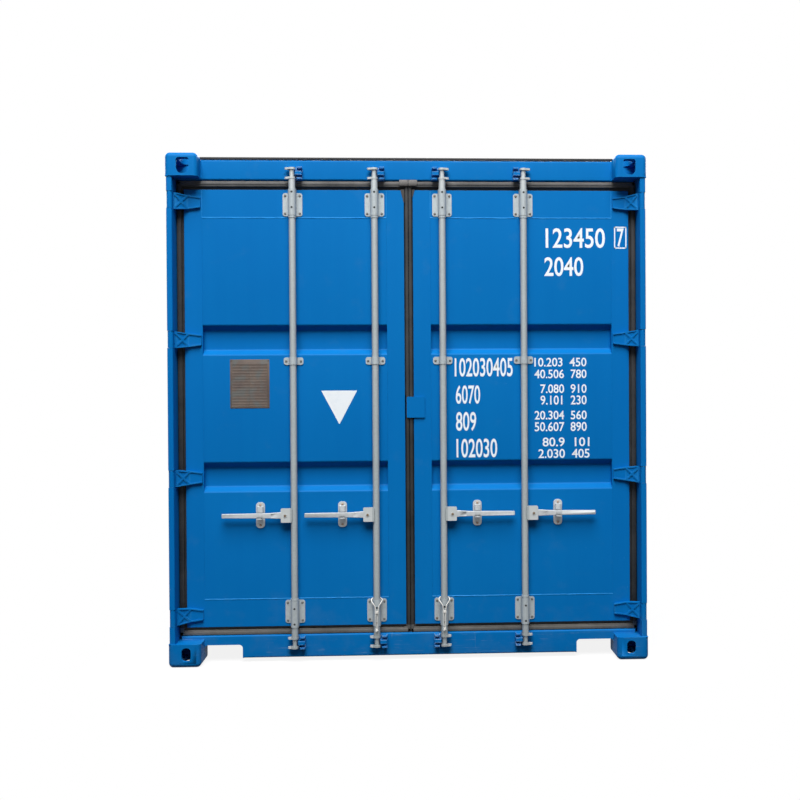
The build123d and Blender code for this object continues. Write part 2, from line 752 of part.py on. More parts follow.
def bracket(place, flange_foot, flange_top, arch_foot, arch_top):
    """A bar bracket: riveted flanges and an arch that wraps the bar."""
    outer = BAR_RADIUS + BRACKET_FIT + BRACKET_ARCH
    plate = RectangleRounded(BRACKET_WIDTH, flange_top - flange_foot, BRACKET_CORNER)
    plate = Pos(place, face_y, (flange_foot + flange_top) / 2) * extrude(Plane.XZ * plate, BRACKET_FLANGE)
    piece = plate + span(place - outer, place + outer, bar_y, face_y, arch_foot, arch_top)
    length, middle = arch_top - arch_foot, (arch_foot + arch_top) / 2
    piece += Pos(place, bar_y, middle) * Cylinder(outer, length)
    return piece - Pos(place, bar_y, middle) * Cylinder(BAR_RADIUS + BRACKET_FIT, length)


def bar_brackets():
    """Top and bottom brackets and a middle guide for both bars of the left leaf."""
    pieces = []
    guide_z = recess_centres[-1] - RECESS_HEIGHT / 2 - GUIDE_BELOW_RECESS
    guide = (guide_z - GUIDE_HEIGHT / 2, guide_z + GUIDE_HEIGHT / 2)
    foot = leaf_foot + BRACKET_FROM_EDGE
    top = leaf_top - BRACKET_FROM_EDGE
    drain = Rot(90, 0, 0) * Cylinder(BRACKET_HOLE, DOOR_FACE, align=(Align.CENTER, Align.CENTER, Align.MIN))
    for place in bar_places:
        low = bracket(place, foot, foot + BRACKET_HEIGHT, leaf_foot, foot + BRACKET_HEIGHT)
        high = bracket(place, top - BRACKET_HEIGHT, top, top - BRACKET_HEIGHT, leaf_top)
        for step in (0, BRACKET_HOLE_SPACING):
            low -= Pos(place, bar_y, foot + step) * drain
            high -= Pos(place, bar_y, top - step) * drain
        pieces += [low, high, bracket(place, *guide, *guide)]
    return pieces


def cam(place, foot):
    """A bar end: a core between two flanges whose lobes point to the hinge side."""
    core = Pos(place, bar_y, foot + CAM_HEIGHT / 2) * Cylinder(CAM_CORE, CAM_HEIGHT)
    tip = Pos(place - CAM_REACH, bar_y) * Circle(CAM_TIP)
    lobe = make_hull((tip + Pos(place, bar_y) * Circle(CAM_BOSS)).edges())
    for level in (foot, foot + CAM_HEIGHT - CAM_FLANGE):
        core += Pos(0, 0, level) * extrude(lobe, CAM_FLANGE)
    return core


def locking_bar(place):
    """A locking bar with a cam at each end and the clevis that carries its handle."""
    low, high = foot_cam_foot + CAM_HEIGHT, top_cam_foot
    tube = Cylinder(BAR_RADIUS, high - low) - Cylinder(BAR_BORE, high - low)
    bar = Pos(place, bar_y, (low + high) / 2) * tube
    bar += cam(place, foot_cam_foot)
    bar += cam(place, top_cam_foot)
    inner = HANDLE_THICKNESS / 2 + HUB_FIT
    hub_y = bar_y - HUB_FRONT + HUB_CHEEK + inner
    clevis = fillet(Rectangle(HUB_REACH - HUB_START, HUB_HEIGHT).vertices(), HUB_CORNER)
    clevis = Pos(place - (HUB_REACH + HUB_START) / 2, handle_z) * clevis
    block = Pos(0, hub_y + inner + HUB_CHEEK, 0) * extrude(Plane.XZ * clevis, 2 * (inner + HUB_CHEEK))
    half = HUB_HEIGHT / 2
    block -= span(
        place - HUB_REACH, place - HUB_SLOT, hub_y - inner, hub_y + inner, handle_z - half, handle_z + half
    )
    bar += block - Pos(place, bar_y, handle_z) * Cylinder(BAR_BORE, HUB_HEIGHT)
    pin = Pos(place - HUB_PIN_REACH, hub_y + inner, handle_z) * Rot(90, 0, 0)
    bar += pin * Cylinder(HUB_PIN, 2 * inner, align=(Align.CENTER, Align.CENTER, Align.MIN))
    head = Pos(place - HUB_PIN_REACH, bar_y - HUB_FRONT, handle_z) * Rot(90, 0, 0)
    return bar + head * Cylinder(
        HUB_PIN_HEAD, HUB_PIN_HEAD_THICKNESS, align=(Align.CENTER, Align.CENTER, Align.MIN)
    )


def handle(place):
    """A forged handle on the clevis pin: a round eye, a tapered shank and a square-ended grip."""
    eye_x, tip_x = place - HUB_PIN_REACH, place - HANDLE_LENGTH
    grip_x = place - RETAINER_REACH
    shank, grip, tip = HANDLE_ROOT / 2, HANDLE_GRIP / 2, HANDLE_TIP / 2
    side = outline([
        (eye_x, handle_z + shank),
        (grip_x + RETAINER_WIDTH, handle_z + grip),
        (tip_x, handle_z + tip),
        (tip_x, handle_z - tip),
        (grip_x + RETAINER_WIDTH, handle_z - grip),
        (eye_x, handle_z - shank),
    ])
    side += Pos(eye_x, handle_z) * Circle(shank)
    inner = HANDLE_THICKNESS / 2 + HUB_FIT
    hub_y = bar_y - HUB_FRONT + HUB_CHEEK + inner
    front, back = hub_y - HANDLE_THICKNESS / 2, hub_y + HANDLE_THICKNESS / 2
    bend_x = place - HUB_REACH - grip
    crank_x = bend_x - HANDLE_ROOT
    plan = outline([
        (eye_x + shank, front),
        (bend_x, front),
        (crank_x, front - HANDLE_CRANK),
        (tip_x, front - HANDLE_CRANK),
        (tip_x, back - HANDLE_CRANK),
        (crank_x, back - HANDLE_CRANK),
        (bend_x, back),
        (eye_x + shank, back),
    ])
    piece = upright(plan, handle_z - shank, handle_z + shank) & lengthways(side, door_end, face_y)
    piece = fillet(piece.edges(), HANDLE_ROUND)
    bore = Pos(eye_x, hub_y, handle_z) * Rot(90, 0, 0) * Cylinder(HUB_PIN + HUB_PIN_FIT, HANDLE_THICKNESS)
    return piece - bore


def handle_retainer(place):
    """A plate that the handle lies against, with a pad above and a shelf below it."""
    x = place - RETAINER_REACH
    plate = RectangleRounded(RETAINER_WIDTH, RETAINER_HEIGHT, RETAINER_END)
    piece = Pos(x, face_y, handle_z) * extrude(Plane.XZ * plate, RETAINER_PLATE)
    grip = HANDLE_GRIP / 2
    pad_y = face_y - RETAINER_PLATE
    half = RETAINER_PAD_WIDTH / 2
    pad_ends = (handle_z + grip, handle_z + RETAINER_PAD_TOP)
    pad = span(x - half, x + half, pad_y - RETAINER_PAD, pad_y, *pad_ends)
    shelf_top = handle_z - grip - HANDLE_SHELF_GAP
    shelf_y = bar_y - HUB_FRONT
    shelf = span(x - half, x + half, shelf_y, pad_y, shelf_top - RETAINER_SHELF, shelf_top)
    return piece + nosed(pad, RETAINER_ROUND) + nosed(shelf, RETAINER_ROUND)


def cam_keeper(place, foot):
    """A keeper beside a cam: a plate with a lug between the cam's flanges and an ear at each end."""
    x0, x1 = place + KEEPER_START, place + KEEPER_START + KEEPER_WIDTH
    middle = foot + CAM_HEIGHT / 2
    wall = door_end + HEADER_DEPTH
    low, high = middle - KEEPER_HEIGHT / 2, middle + KEEPER_HEIGHT / 2
    piece = span(x0, x1, wall - KEEPER_PLATE, wall, low, high)
    lug = span(x0, x1, wall - KEEPER_REACH, wall, middle - KEEPER_LUG / 2, middle + KEEPER_LUG / 2)
    piece += nosed(lug, KEEPER_ROUND)
    for z0 in (low, high - KEEPER_EAR):
        ear = span(x1 - KEEPER_EAR_WIDTH, x1, wall - KEEPER_REACH, wall, z0, z0 + KEEPER_EAR)
        piece += nosed(ear, KEEPER_ROUND)
    return piece


def data_plate():
    """A thin plate with rounded corners on the left leaf, beside the outer bar's guide."""
    x1 = bar_places[0] - BRACKET_WIDTH / 2 - DATA_PLATE_FROM_GUIDE
    plate = RectangleRounded(DATA_PLATE_WIDTH, DATA_PLATE_HEIGHT, DATA_PLATE_CORNER)
    place = Pos(x1 - DATA_PLATE_WIDTH / 2, face_y, DATA_PLATE_FOOT + DATA_PLATE_HEIGHT / 2)
    return place * extrude(Plane.XZ * plate, DATA_PLATE_THICKNESS)


def overlap_plate():
    """A plate on the right leaf that laps over the left one, so that the right leaf shuts last."""
    plate = RectangleRounded(OVERLAP_WIDTH, OVERLAP_HEIGHT, OVERLAP_CORNER)
    place = Pos(OVERLAP_WIDTH / 2 - OVERLAP_REACH, face_y, OVERLAP_FOOT + OVERLAP_HEIGHT / 2)
    return place * extrude(Plane.XZ * plate, OVERLAP_THICKNESS)


def rope_tube(radius):
    """The left tie rope's round tube, along straight runs joined by arcs as large as the runs allow."""
    points = [Vector(inner_bar, bar_y, leaf_foot) + Vector(*point) for point in ROPE_ROUTE]
    radii = []
    for before, corner, after in zip(points, points[1:], points[2:]):
        runs = (corner - before, after - corner)
        half_turn = math.radians(runs[0].get_angle(runs[1]) / 2)
        radii.append(ROPE_BEND * min(run.length for run in runs) / math.tan(half_turn))
    path = FilletPolyline(*points, radius=radii)
    print(f"rope length {path.length:.0f}, radii", [round(value) for value in radii])
    return sweep(Plane(origin=path @ 0, z_dir=path % 0) * Circle(radius), path=path)


def rope_knots():
    """The left rope's whipping, which binds its two legs, and the knot that joins their lower ends."""
    start, end = Vector(*ROPE_ROUTE[0]), Vector(*ROPE_ROUTE[-1])
    origin = Pos(inner_bar, bar_y + start.Y, leaf_foot)
    whipping = extrude(RectangleRounded(WHIPPING_WIDTH, WHIPPING_DEPTH, WHIPPING_CORNER), WHIPPING_HEIGHT)
    knot = extrude(RectangleRounded(KNOT_WIDTH, KNOT_DEPTH, KNOT_CORNER), KNOT_HEIGHT)
    for leg in (start, end):
        room = Pos(leg.X, 0, 0) * extrude(Circle(ROPE + ROPE_FIT), KNOT_HEIGHT)
        whipping -= room
        knot -= Pos(0, 0, KNOT_DROP - ROPE_FIT) * room
    return origin * Pos(0, 0, WHIPPING_RISE) * whipping, origin * Pos(0, 0, start.Z - KNOT_DROP) * knot


def make_frame():
    post = rear_post()
    save("rear_left_post", post)
    save("rear_right_post", mirrored(post))
    pins = hinge_pins()
    save("hinge_pins", *pins, *[mirrored(pin) for pin in pins])
    corner = front_post()
    save("front_posts", corner, mirrored(corner))
    save("door_header", door_header())
    save("door_sill", door_sill())
    save("front_top_rail", front_top_rail())
    save("front_bottom_rail", front_bottom_rail())
    for name, rail in (("top_side_rails", top_side_rail()), ("bottom_side_rails", bottom_side_rail())):
        save(name, rail, mirrored(rail))
    keepers = [cam_keeper(place, foot) for place in bar_places for foot in (foot_cam_foot, top_cam_foot)]
    save("cam_keepers", *keepers, *[mirrored(keeper) for keeper in keepers])


def make_skins():
    wall = side_wall()
    save("left_wall", wall)
    save("right_wall", mirrored(wall))
    save("front_wall", front_wall())
    save("roof", roof())
    save("floor", floor_deck())
    save("cross_members", *cross_members())
    save("fork_pockets", *[fork_pocket(place) for place in (-FORK_SPACING / 2, FORK_SPACING / 2)])


def make_doors():
    hinges = [Pos(0, 0, height) * hinge_blade() for height in hinge_heights]
    seal = door_seal()
    seal_room = span(
        leaf_lock, 0, door_end, door_end + stop_depth,
        OVERLAP_FOOT - OVERLAP_SEAL_GAP, OVERLAP_FOOT + OVERLAP_HEIGHT + OVERLAP_SEAL_GAP,
    )
    sets = {
        "door_frame": [door_frame()],
        "door_panel": [door_panel()],
        "door_hinges": hinges,
        "bar_brackets": bar_brackets(),
        "handle_retainers": [handle_retainer(place) for place in bar_places],
    }
    for name, pieces in sets.items():
        save(f"left_{name}", *pieces)
        save(f"right_{name}", *[mirrored(piece) for piece in pieces])
    save("left_door_seal", seal - seal_room)
    save("right_door_seal", mirrored(seal))
    save("data_plate", data_plate())
    save("overlap_plate", overlap_plate())
    rope, knots = rope_tube(ROPE), rope_knots()
    across = Pos(-2 * inner_bar, 0, 0)
    save("left_tie_rope", rope)
    save("left_rope_knots", *knots)
    save("right_tie_rope", across * rope)
    save("right_rope_knots", *[across * knot for knot in knots])
    for name, place in zip(("outer", "inner"), bar_places):
        bar, lever = locking_bar(place), handle(place)
        save(f"left_{name}_bar", bar)
        save(f"right_{name}_bar", mirrored(bar))
        save(f"left_{name}_handle", lever)
        save(f"right_{name}_handle", mirrored(lever))


os.makedirs("parts", exist_ok=True)
make_castings()
make_frame()
make_skins()
make_doors()
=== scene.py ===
import json
import math
import random

import bmesh
import bpy
from mathutils import Matrix, Vector

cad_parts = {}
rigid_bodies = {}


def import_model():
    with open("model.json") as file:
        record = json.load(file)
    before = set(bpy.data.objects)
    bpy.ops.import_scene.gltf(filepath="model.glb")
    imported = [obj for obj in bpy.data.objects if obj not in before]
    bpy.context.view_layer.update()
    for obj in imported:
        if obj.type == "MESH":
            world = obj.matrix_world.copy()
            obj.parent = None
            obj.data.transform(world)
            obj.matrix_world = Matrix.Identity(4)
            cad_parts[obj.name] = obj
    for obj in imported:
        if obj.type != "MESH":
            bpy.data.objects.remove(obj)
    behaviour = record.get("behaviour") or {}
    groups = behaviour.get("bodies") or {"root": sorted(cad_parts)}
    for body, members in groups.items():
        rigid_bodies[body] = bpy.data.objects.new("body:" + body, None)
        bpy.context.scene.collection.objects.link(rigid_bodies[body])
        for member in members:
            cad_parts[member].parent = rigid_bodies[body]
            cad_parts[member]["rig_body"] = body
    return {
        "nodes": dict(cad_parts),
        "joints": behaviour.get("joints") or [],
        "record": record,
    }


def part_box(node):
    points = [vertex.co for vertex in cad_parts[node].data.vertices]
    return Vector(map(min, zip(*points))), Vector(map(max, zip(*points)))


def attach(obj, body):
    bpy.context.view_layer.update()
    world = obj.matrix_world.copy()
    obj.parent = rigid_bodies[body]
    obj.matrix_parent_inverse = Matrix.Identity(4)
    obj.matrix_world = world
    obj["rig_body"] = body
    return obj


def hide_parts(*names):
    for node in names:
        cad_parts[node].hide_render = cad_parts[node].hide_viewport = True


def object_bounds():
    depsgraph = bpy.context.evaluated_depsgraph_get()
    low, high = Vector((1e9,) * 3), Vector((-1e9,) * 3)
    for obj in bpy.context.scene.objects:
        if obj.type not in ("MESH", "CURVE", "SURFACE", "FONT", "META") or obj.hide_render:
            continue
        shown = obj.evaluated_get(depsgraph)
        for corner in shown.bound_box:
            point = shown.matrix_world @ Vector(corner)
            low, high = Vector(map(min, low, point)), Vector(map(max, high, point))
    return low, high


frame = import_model()
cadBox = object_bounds()
nodes = frame["nodes"]
slotOf = {part["node"]: part["material_slot"] for part in frame["record"]["subparts"]}
axisOf = {joint["name"]: Vector(joint["pos_m"]) for joint in frame["joints"]}
chance = random.Random(20)
sides = {"left": -1, "right": 1}
spots = ("outer", "inner")

leafLow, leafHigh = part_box("left_door_frame")
faceY = leafLow.y  # outer face of both leaves
centreZ = (leafLow.z + leafHigh.z) / 2
outerBarX, innerBarX = (axisOf[f"right_{spot}_bar_turn"].x for spot in spots)
print("frame loaded:", len(nodes), "nodes")


# A socket that can stand in a Python expression
class Flow:
    def __init__(self, finish, socket):
        self.finish = finish
        self.socket = socket

    def join(self, operation, first, second):
        return self.finish.node("ShaderNodeMath", {"operation": operation}, {0: first, 1: second})

    def __add__(self, other):
        return self.join("ADD", self, other)

    __radd__ = __add__

    def __sub__(self, other):
        return self.join("SUBTRACT", self, other)

    def __rsub__(self, other):
        return self.join("SUBTRACT", other, self)

    def __mul__(self, other):
        return self.join("MULTIPLY", self, other)

    def __pow__(self, other):
        return self.join("POWER", self, other)

    def __lt__(self, other):
        return self.join("LESS_THAN", self, other)

    def __abs__(self):
        return self.join("ABSOLUTE", self, 0.0)

    def atLeast(self, other):
        return self.join("MAXIMUM", self, other)


class Finish:
    def __init__(self, name, library=None, ending="Material"):
        self.material = (bpy.data.materials if library is None else library).new(name)
        self.material.use_nodes = True
        self.tree = self.material.node_tree
        self.tree.nodes.clear()
        self.output = self.tree.nodes.new("ShaderNodeOutput" + ending)
        self.place = self.node("ShaderNodeTexCoord", output="Object")

    # any node: its type, its settings, then the values or links of its sockets
    def node(self, kind, settings=None, sockets=None, output=0):
        made = self.tree.nodes.new(kind)
        for key, value in (settings or {}).items():
            setattr(made, key, value)
        for key, value in (sockets or {}).items():
            self.feed(made.inputs[key], value)
        return Flow(self, made.outputs[output])

    def feed(self, socket, value):
        if isinstance(value, Flow):
            self.tree.links.new(value.socket, socket)
        elif socket.type == "RGBA":
            socket.default_value = (*value, 1.0)
        else:
            socket.default_value = value

    def noise(self, scale, detail, rough=0.55, place=None):
        sockets = {"Vector": place or self.place, "Scale": scale, "Detail": detail, "Roughness": rough}
        return self.node("ShaderNodeTexNoise", None, sockets)

    # noise drawn out along an axis
    def drawnOut(self, stretch, detail, rough):
        place = self.node("ShaderNodeMapping", None, {"Vector": self.place, "Scale": stretch})
        return self.noise(1.0, detail, rough, place)

    def ramp(self, value, low, high):
        return self.node("ShaderNodeMapRange", {"clamp": True}, {0: value, 1: low, 2: high, 3: 0.0, 4: 1.0})

    def tint(self, first, second, amount):
        return self.node("ShaderNodeMix", {"data_type": "RGBA"}, {0: amount, 6: first, 7: second}, 2)

    def along(self, axis):
        return self.node("ShaderNodeSeparateXYZ", None, {0: self.place}, axis)

    # 1 for what the eye sees straight, in a mirror or through glass, 0 for scattered light
    def seen(self):
        kinds = ("Camera", "Glossy", "Transmission")
        rays = [self.node("ShaderNodeLightPath", output=f"Is {kind} Ray") for kind in kinds]
        return rays[0].atLeast(rays[1]).atLeast(rays[2])

    # 0 on flat metal, rising towards its edges
    def edges(self, radius):
        soft = self.node("ShaderNodeBevel", {"samples": 4}, {"Radius": radius})
        flat = self.node("ShaderNodeNewGeometry", output="True Normal")
        return 1 - self.node("ShaderNodeVectorMath", {"operation": "DOT_PRODUCT"}, {0: soft, 1: flat},
                             "Value")

    def bump(self, value, depth, strength, under=None):
        sockets = {"Height": value, "Distance": depth, "Strength": strength}
        if under:
            sockets["Normal"] = under
        return self.node("ShaderNodeBump", None, sockets)

    def close(self, shader):
        self.tree.links.new(shader.socket, self.output.inputs["Surface"])
        return self.material

    def surface(self, base, rough, normal=None, metallic=0.0, specular=0.5):
        sockets = {"Base Color": base, "Roughness": rough, "Metallic": metallic,
                   "Specular IOR Level": specular}
        if normal:
            sockets["Normal"] = normal
        return self.close(self.node("ShaderNodeBsdfPrincipled", None, sockets))


bluePaint = {
    "body": (0.0006, 0.142, 0.440),
    "faded": (0.0020, 0.178, 0.500),
    "dust": (0.110, 0.220, 0.330),
    "chip": (0.200, 0.390, 0.600),
    "scuff": (0.230, 0.370, 0.500),
    # edge: lighter blue on the edges, partly worn paint and partly a painted highlight
    "edge": (0.040, 0.300, 0.620),
    "roughness": 0.42,
    "specular": 0.07,
    "patches": (1.1, 4.0),
    "streaks": ((17, 17, 0.55), 5.0, 0.6),
    "grime": (9.0, 6.0, 0.65),
    "fadeRange": (0.32, 0.72),
    "fadeAmount": 0.55,
    "footRange": (0.02, 0.45),
    "dustRange": (0.60, 0.98),
    "dustAmount": 0.16,
    "rubs": ((5, 5, 150), 4.0, 0.7),
    "rubRange": (0.60, 0.72),
    "drips": ((46, 46, 5), 3.0, 0.6),
    "dripRange": (0.69, 0.75),
    "sillTop": 0.150,
    "sillFade": 0.02,
    "scuffRange": (0.42, 0.62),
    "scuffAmount": 0.6,
    "chips": (95.0, 2.0, 0.5),
    "chipRange": (0.765, 0.80),
    "chipPatches": (0.5, 0.7),
    "chipAmount": 0.5,
    "edgeWidth": 0.005,
    "edgeRange": (0.04, 0.22),
    "edgePatches": (0.36, 0.56),
    "edgeWearAndHighlight": 0.65,
    "peel": (310.0, 2.0),
    "peelBump": (0.00018, 0.35),
    "wave": (4.2, 2.0),
    "waveBump": (0.0016, 0.45),
}
# a paler copy of the blue paint for the door welds: a painted highlight along the beads
beadHighlightPaint = dict(bluePaint, body=(0.012, 0.240, 0.620), faded=(0.060, 0.330, 0.720))
# keeper edges lighten towards zinc: rubbed bare by the cams, and a painted glint
keeperPaint = dict(bluePaint, edge=(0.560, 0.640, 0.700), edgeWidth=0.007, edgeWearAndHighlight=0.95)


def makeBluePaint(name, paint, edgesWornAndLit=False):
    coat = Finish(name)
    patches = coat.noise(*paint["patches"])
    streaks = coat.drawnOut(*paint["streaks"])
    grime = coat.noise(*paint["grime"])
    rise = coat.along(2)
    shade = coat.ramp(patches * 0.7 + streaks * 0.3, *paint["fadeRange"])
    base = coat.tint(paint["body"], paint["faded"], shade * paint["fadeAmount"])
    foot = 1 - coat.ramp(rise, *paint["footRange"])
    dust = coat.ramp(grime + foot * 0.20, *paint["dustRange"]) * paint["dustAmount"]
    base = coat.tint(base, paint["dust"], dust)
    rubs = coat.ramp(coat.drawnOut(*paint["rubs"]), *paint["rubRange"])
    drips = coat.ramp(coat.drawnOut(*paint["drips"]), *paint["dripRange"])
    low = 1 - coat.ramp(rise, paint["sillTop"] - paint["sillFade"], paint["sillTop"])
    scuffs = (rubs + drips) * low * coat.ramp(grime, *paint["scuffRange"])
    base = coat.tint(base, paint["scuff"], scuffs * paint["scuffAmount"])
    chips = coat.ramp(coat.noise(*paint["chips"]), *paint["chipRange"])
    chips = chips * coat.ramp(grime + foot * 0.1, *paint["chipPatches"])
    base = coat.tint(base, paint["chip"], chips * paint["chipAmount"])
    # edges are lightened: partly paint worn off, partly a painted highlight along them
    if edgesWornAndLit:
        wornAndLitEdges = coat.ramp(coat.edges(paint["edgeWidth"]), *paint["edgeRange"])
        wornAndLitEdges = wornAndLitEdges * coat.ramp(grime, *paint["edgePatches"])
        base = coat.tint(base, paint["edge"], wornAndLitEdges * paint["edgeWearAndHighlight"])
    peel = coat.bump(coat.noise(*paint["peel"]), *paint["peelBump"])
    wave = coat.bump(coat.noise(*paint["wave"]), *paint["waveBump"], peel)
    rough = paint["roughness"] + grime * 0.10 + dust * 0.5
    return coat.surface(base, rough, wave, specular=paint["specular"])


zincCoat = {
    "bright": (0.400, 0.440, 0.450),
    "dull": (0.270, 0.300, 0.310),
    "stain": (0.150, 0.130, 0.105),
    "glint": (0.500, 0.530, 0.535),
    "metallic": 0.30,
    "roughness": 0.42,
    "spangle": 140.0,
    "cloud": (7.0, 5.0, 0.6),
    "runs": ((45, 45, 2.2), 4.0, 0.6),
    "dullRange": (0.30, 0.82),
    "dullAmount": 0.6,
    "lowRange": (0.1, 0.6),
    "lowShade": 0.50,
    "rodRadius": 0.0195,
    "rodFade": 0.001,
    "headRange": (2.20, 2.45),
    "topHighlight": 0.60,
    "stains": (23.0, 6.0, 0.7),
    "stainRange": (0.62, 0.82),
    "stainAmount": 0.25,
    "skin": (260.0, 3.0),
    "skinBump": (0.0003, 0.5),
}
zincBracket = dict(
    zincCoat, bright=(0.430, 0.480, 0.500), dull=(0.290, 0.320, 0.335),
    stain=(0.200, 0.170, 0.130), metallic=0.20, spangle=90.0, lowShade=0.20,
)
zincHandle = dict(
    zincBracket, bright=(0.550, 0.580, 0.600), dull=(0.370, 0.390, 0.400), lowShade=0.0,
)


def makeZincCoat(name, zinc, onBars=False):
    coat = Finish(name)
    cells = coat.node("ShaderNodeTexVoronoi", None, {"Vector": coat.place, "Scale": zinc["spangle"]}, "Color")
    grain = coat.node("ShaderNodeSeparateColor", None, {0: cells}, 0)
    cloud = coat.noise(*zinc["cloud"])
    runs = coat.drawnOut(*zinc["runs"])
    shade = coat.ramp(grain * 0.22 + cloud * 0.5 + runs * 0.35, *zinc["dullRange"])
    base = coat.tint(zinc["bright"], zinc["dull"], shade * zinc["dullAmount"])
    rise = coat.along(2)
    low = 1 - coat.ramp(rise, *zinc["lowRange"])
    base = coat.tint(base, zinc["dull"], low * zinc["lowShade"])
    if onBars:  # the clevis and the cams are paler than the rod, and its upper end gets a painted highlight
        middle, apart = (outerBarX + innerBarX) / 2, (outerBarX - innerBarX) / 2
        fromRod = abs(abs(abs(coat.along(0)) - middle) - apart)
        fittings = coat.ramp(fromRod, zinc["rodRadius"], zinc["rodRadius"] + zinc["rodFade"])
        # painted highlight on the upper end of each bar
        head = coat.ramp(rise, *zinc["headRange"]) * zinc["topHighlight"]
        base = coat.tint(base, zinc["glint"], fittings.atLeast(head))
    stain = coat.ramp(coat.noise(*zinc["stains"]), *zinc["stainRange"])
    base = coat.tint(base, zinc["stain"], stain * zinc["stainAmount"])
    skin = coat.bump(coat.noise(*zinc["skin"]), *zinc["skinBump"])
    rough = zinc["roughness"] + grain * 0.10 + cloud * 0.12
    return coat.surface(base, rough, skin, zinc["metallic"])


rivetSteel = {
    "grey": (0.150, 0.150, 0.145),
    "rust": (0.170, 0.125, 0.090),
    "metallic": 0.35,
    "roughness": 0.45,
    "cloud": (60.0, 4.0, 0.6),
    "rustRange": (0.45, 0.75),
    "skin": (420.0, 2.0),
    "skinBump": (0.0003, 0.4),
}
rivetPin = dict(rivetSteel, grey=(0.210, 0.160, 0.110), rust=(0.120, 0.080, 0.050))
rivetBrass = dict(rivetSteel, grey=(0.400, 0.300, 0.230), rust=(0.200, 0.130, 0.090))


def makeRivetMetal(name, rivet):
    coat = Finish(name)
    cloud = coat.noise(*rivet["cloud"])
    base = coat.tint(rivet["grey"], rivet["rust"], coat.ramp(cloud, *rivet["rustRange"]))
    skin = coat.bump(coat.noise(*rivet["skin"]), *rivet["skinBump"])
    return coat.surface(base, rivet["roughness"] + cloud * 0.2, skin, rivet["metallic"])


sealRubber = {
    "black": (0.012, 0.014, 0.016),
    "dusty": (0.075, 0.075, 0.076),
    "head": (0.300, 0.290, 0.280),
    "foot": (0.180, 0.172, 0.158),
    "headRange": (2.436, 2.464),
    "footBelow": 0.178,
    "roughness": 0.62,
    "specular": 0.25,
    "cloud": (5.0, 6.0, 0.65),
    "fine": (120.0, 3.0),
    "fineBump": (0.0004, 0.5),
    "dustRange": (0.36, 0.72),
    "dustAmount": 0.60,
}
mouldRubber = dict(sealRubber, black=(0.030, 0.028, 0.027), dusty=(0.105, 0.096, 0.090))


def makeSealRubber(name, rubber):
    coat = Finish(name)
    cloud = coat.noise(*rubber["cloud"])
    fine = coat.noise(*rubber["fine"])
    shade = coat.ramp(cloud * 0.8 + fine * 0.2, *rubber["dustRange"])
    base = coat.tint(rubber["black"], rubber["dusty"], shade * rubber["dustAmount"])
    rise = coat.along(2)
    patchy = 0.35 + shade * 0.5
    # the top band is paler: dust, and a painted highlight where the upper lip catches the light
    base = coat.tint(base, rubber["head"], coat.ramp(rise, *rubber["headRange"]) * patchy)
    base = coat.tint(base, rubber["foot"], (rise < rubber["footBelow"]) * patchy)
    skin = coat.bump(fine, *rubber["fineBump"])
    rough = rubber["roughness"] + cloud * 0.2
    return coat.surface(base, rough, skin, specular=rubber["specular"])


underCoat = {
    "black": (0.018, 0.018, 0.019),
    "dusty": (0.10, 0.09, 0.08),
    "roughness": 0.68,
    "lumps": (38.0, 5.0, 0.6),
    "lumpBump": (0.002, 0.6),
    "dustRange": (0.5, 0.85),
    "dustAmount": 0.5,
}


def makeUnderCoat():
    coat = Finish("bitumen undercoat")
    lumps = coat.noise(*underCoat["lumps"])
    dust = coat.ramp(lumps, *underCoat["dustRange"]) * underCoat["dustAmount"]
    base = coat.tint(underCoat["black"], underCoat["dusty"], dust)
    skin = coat.bump(lumps, *underCoat["lumpBump"])
    return coat.surface(base, underCoat["roughness"] + lumps * 0.15, skin)


plywoodDeck = {
    "light": (0.330, 0.165, 0.080),
    "dark": (0.150, 0.065, 0.030),
    "seam": (0.035, 0.018, 0.010),
    "scuff": (0.30, 0.25, 0.20),
    "roughness": 0.45,
    "boardLength": 1.19,
    "boardWidth": 1.17,
    "seamWidth": 0.003,
    "grain": ((3.2, 62, 62), 6.0, 0.62),
    "grainRange": (0.3, 0.75),
    "grainBump": (0.0009, 0.6),
    "flecks": ((22, 260, 260), 3.0, 0.5),
    "scuffs": ((18, 1.6, 18), 5.0, 0.7),
    "scuffRange": (0.58, 0.8),
    "scuffAmount": 0.35,
}


def makePlywoodDeck():
    coat = Finish("sealed plywood floor")
    grain = coat.drawnOut(*plywoodDeck["grain"])
    flecks = coat.drawnOut(*plywoodDeck["flecks"])
    shade = coat.ramp(grain * 0.8 + flecks * 0.2, *plywoodDeck["grainRange"])
    base = coat.tint(plywoodDeck["light"], plywoodDeck["dark"], shade)
    seams = coat.node("ShaderNodeTexBrick", {"offset": 0.0}, {
        "Vector": coat.place, "Scale": 1.0, "Mortar Size": plywoodDeck["seamWidth"],
        "Brick Width": plywoodDeck["boardWidth"], "Row Height": plywoodDeck["boardLength"],
    }, "Fac")
    base = coat.tint(base, plywoodDeck["seam"], seams)
    scuffs = coat.ramp(coat.drawnOut(*plywoodDeck["scuffs"]), *plywoodDeck["scuffRange"])
    base = coat.tint(base, plywoodDeck["scuff"], scuffs * plywoodDeck["scuffAmount"])
    skin = coat.bump(grain - seams * 0.6, *plywoodDeck["grainBump"])
    return coat.surface(base, plywoodDeck["roughness"] + scuffs * 0.2, skin)


plateMetal = {
    "bright": (0.138, 0.104, 0.080),
    "dark": (0.054, 0.040, 0.040),
    "grey": (0.086, 0.088, 0.083),
    "metallic": 0.25,
    "roughness": 0.42,
    "brush": ((9, 9, 640), 4.0, 0.6),
    "brushBump": (0.0002, 0.4),
    "cloud": (11.0, 4.0),
    "darkRange": (0.35, 0.75),
    "greys": (17.0, 3.0),
    "greyRange": (0.48, 0.62),
}


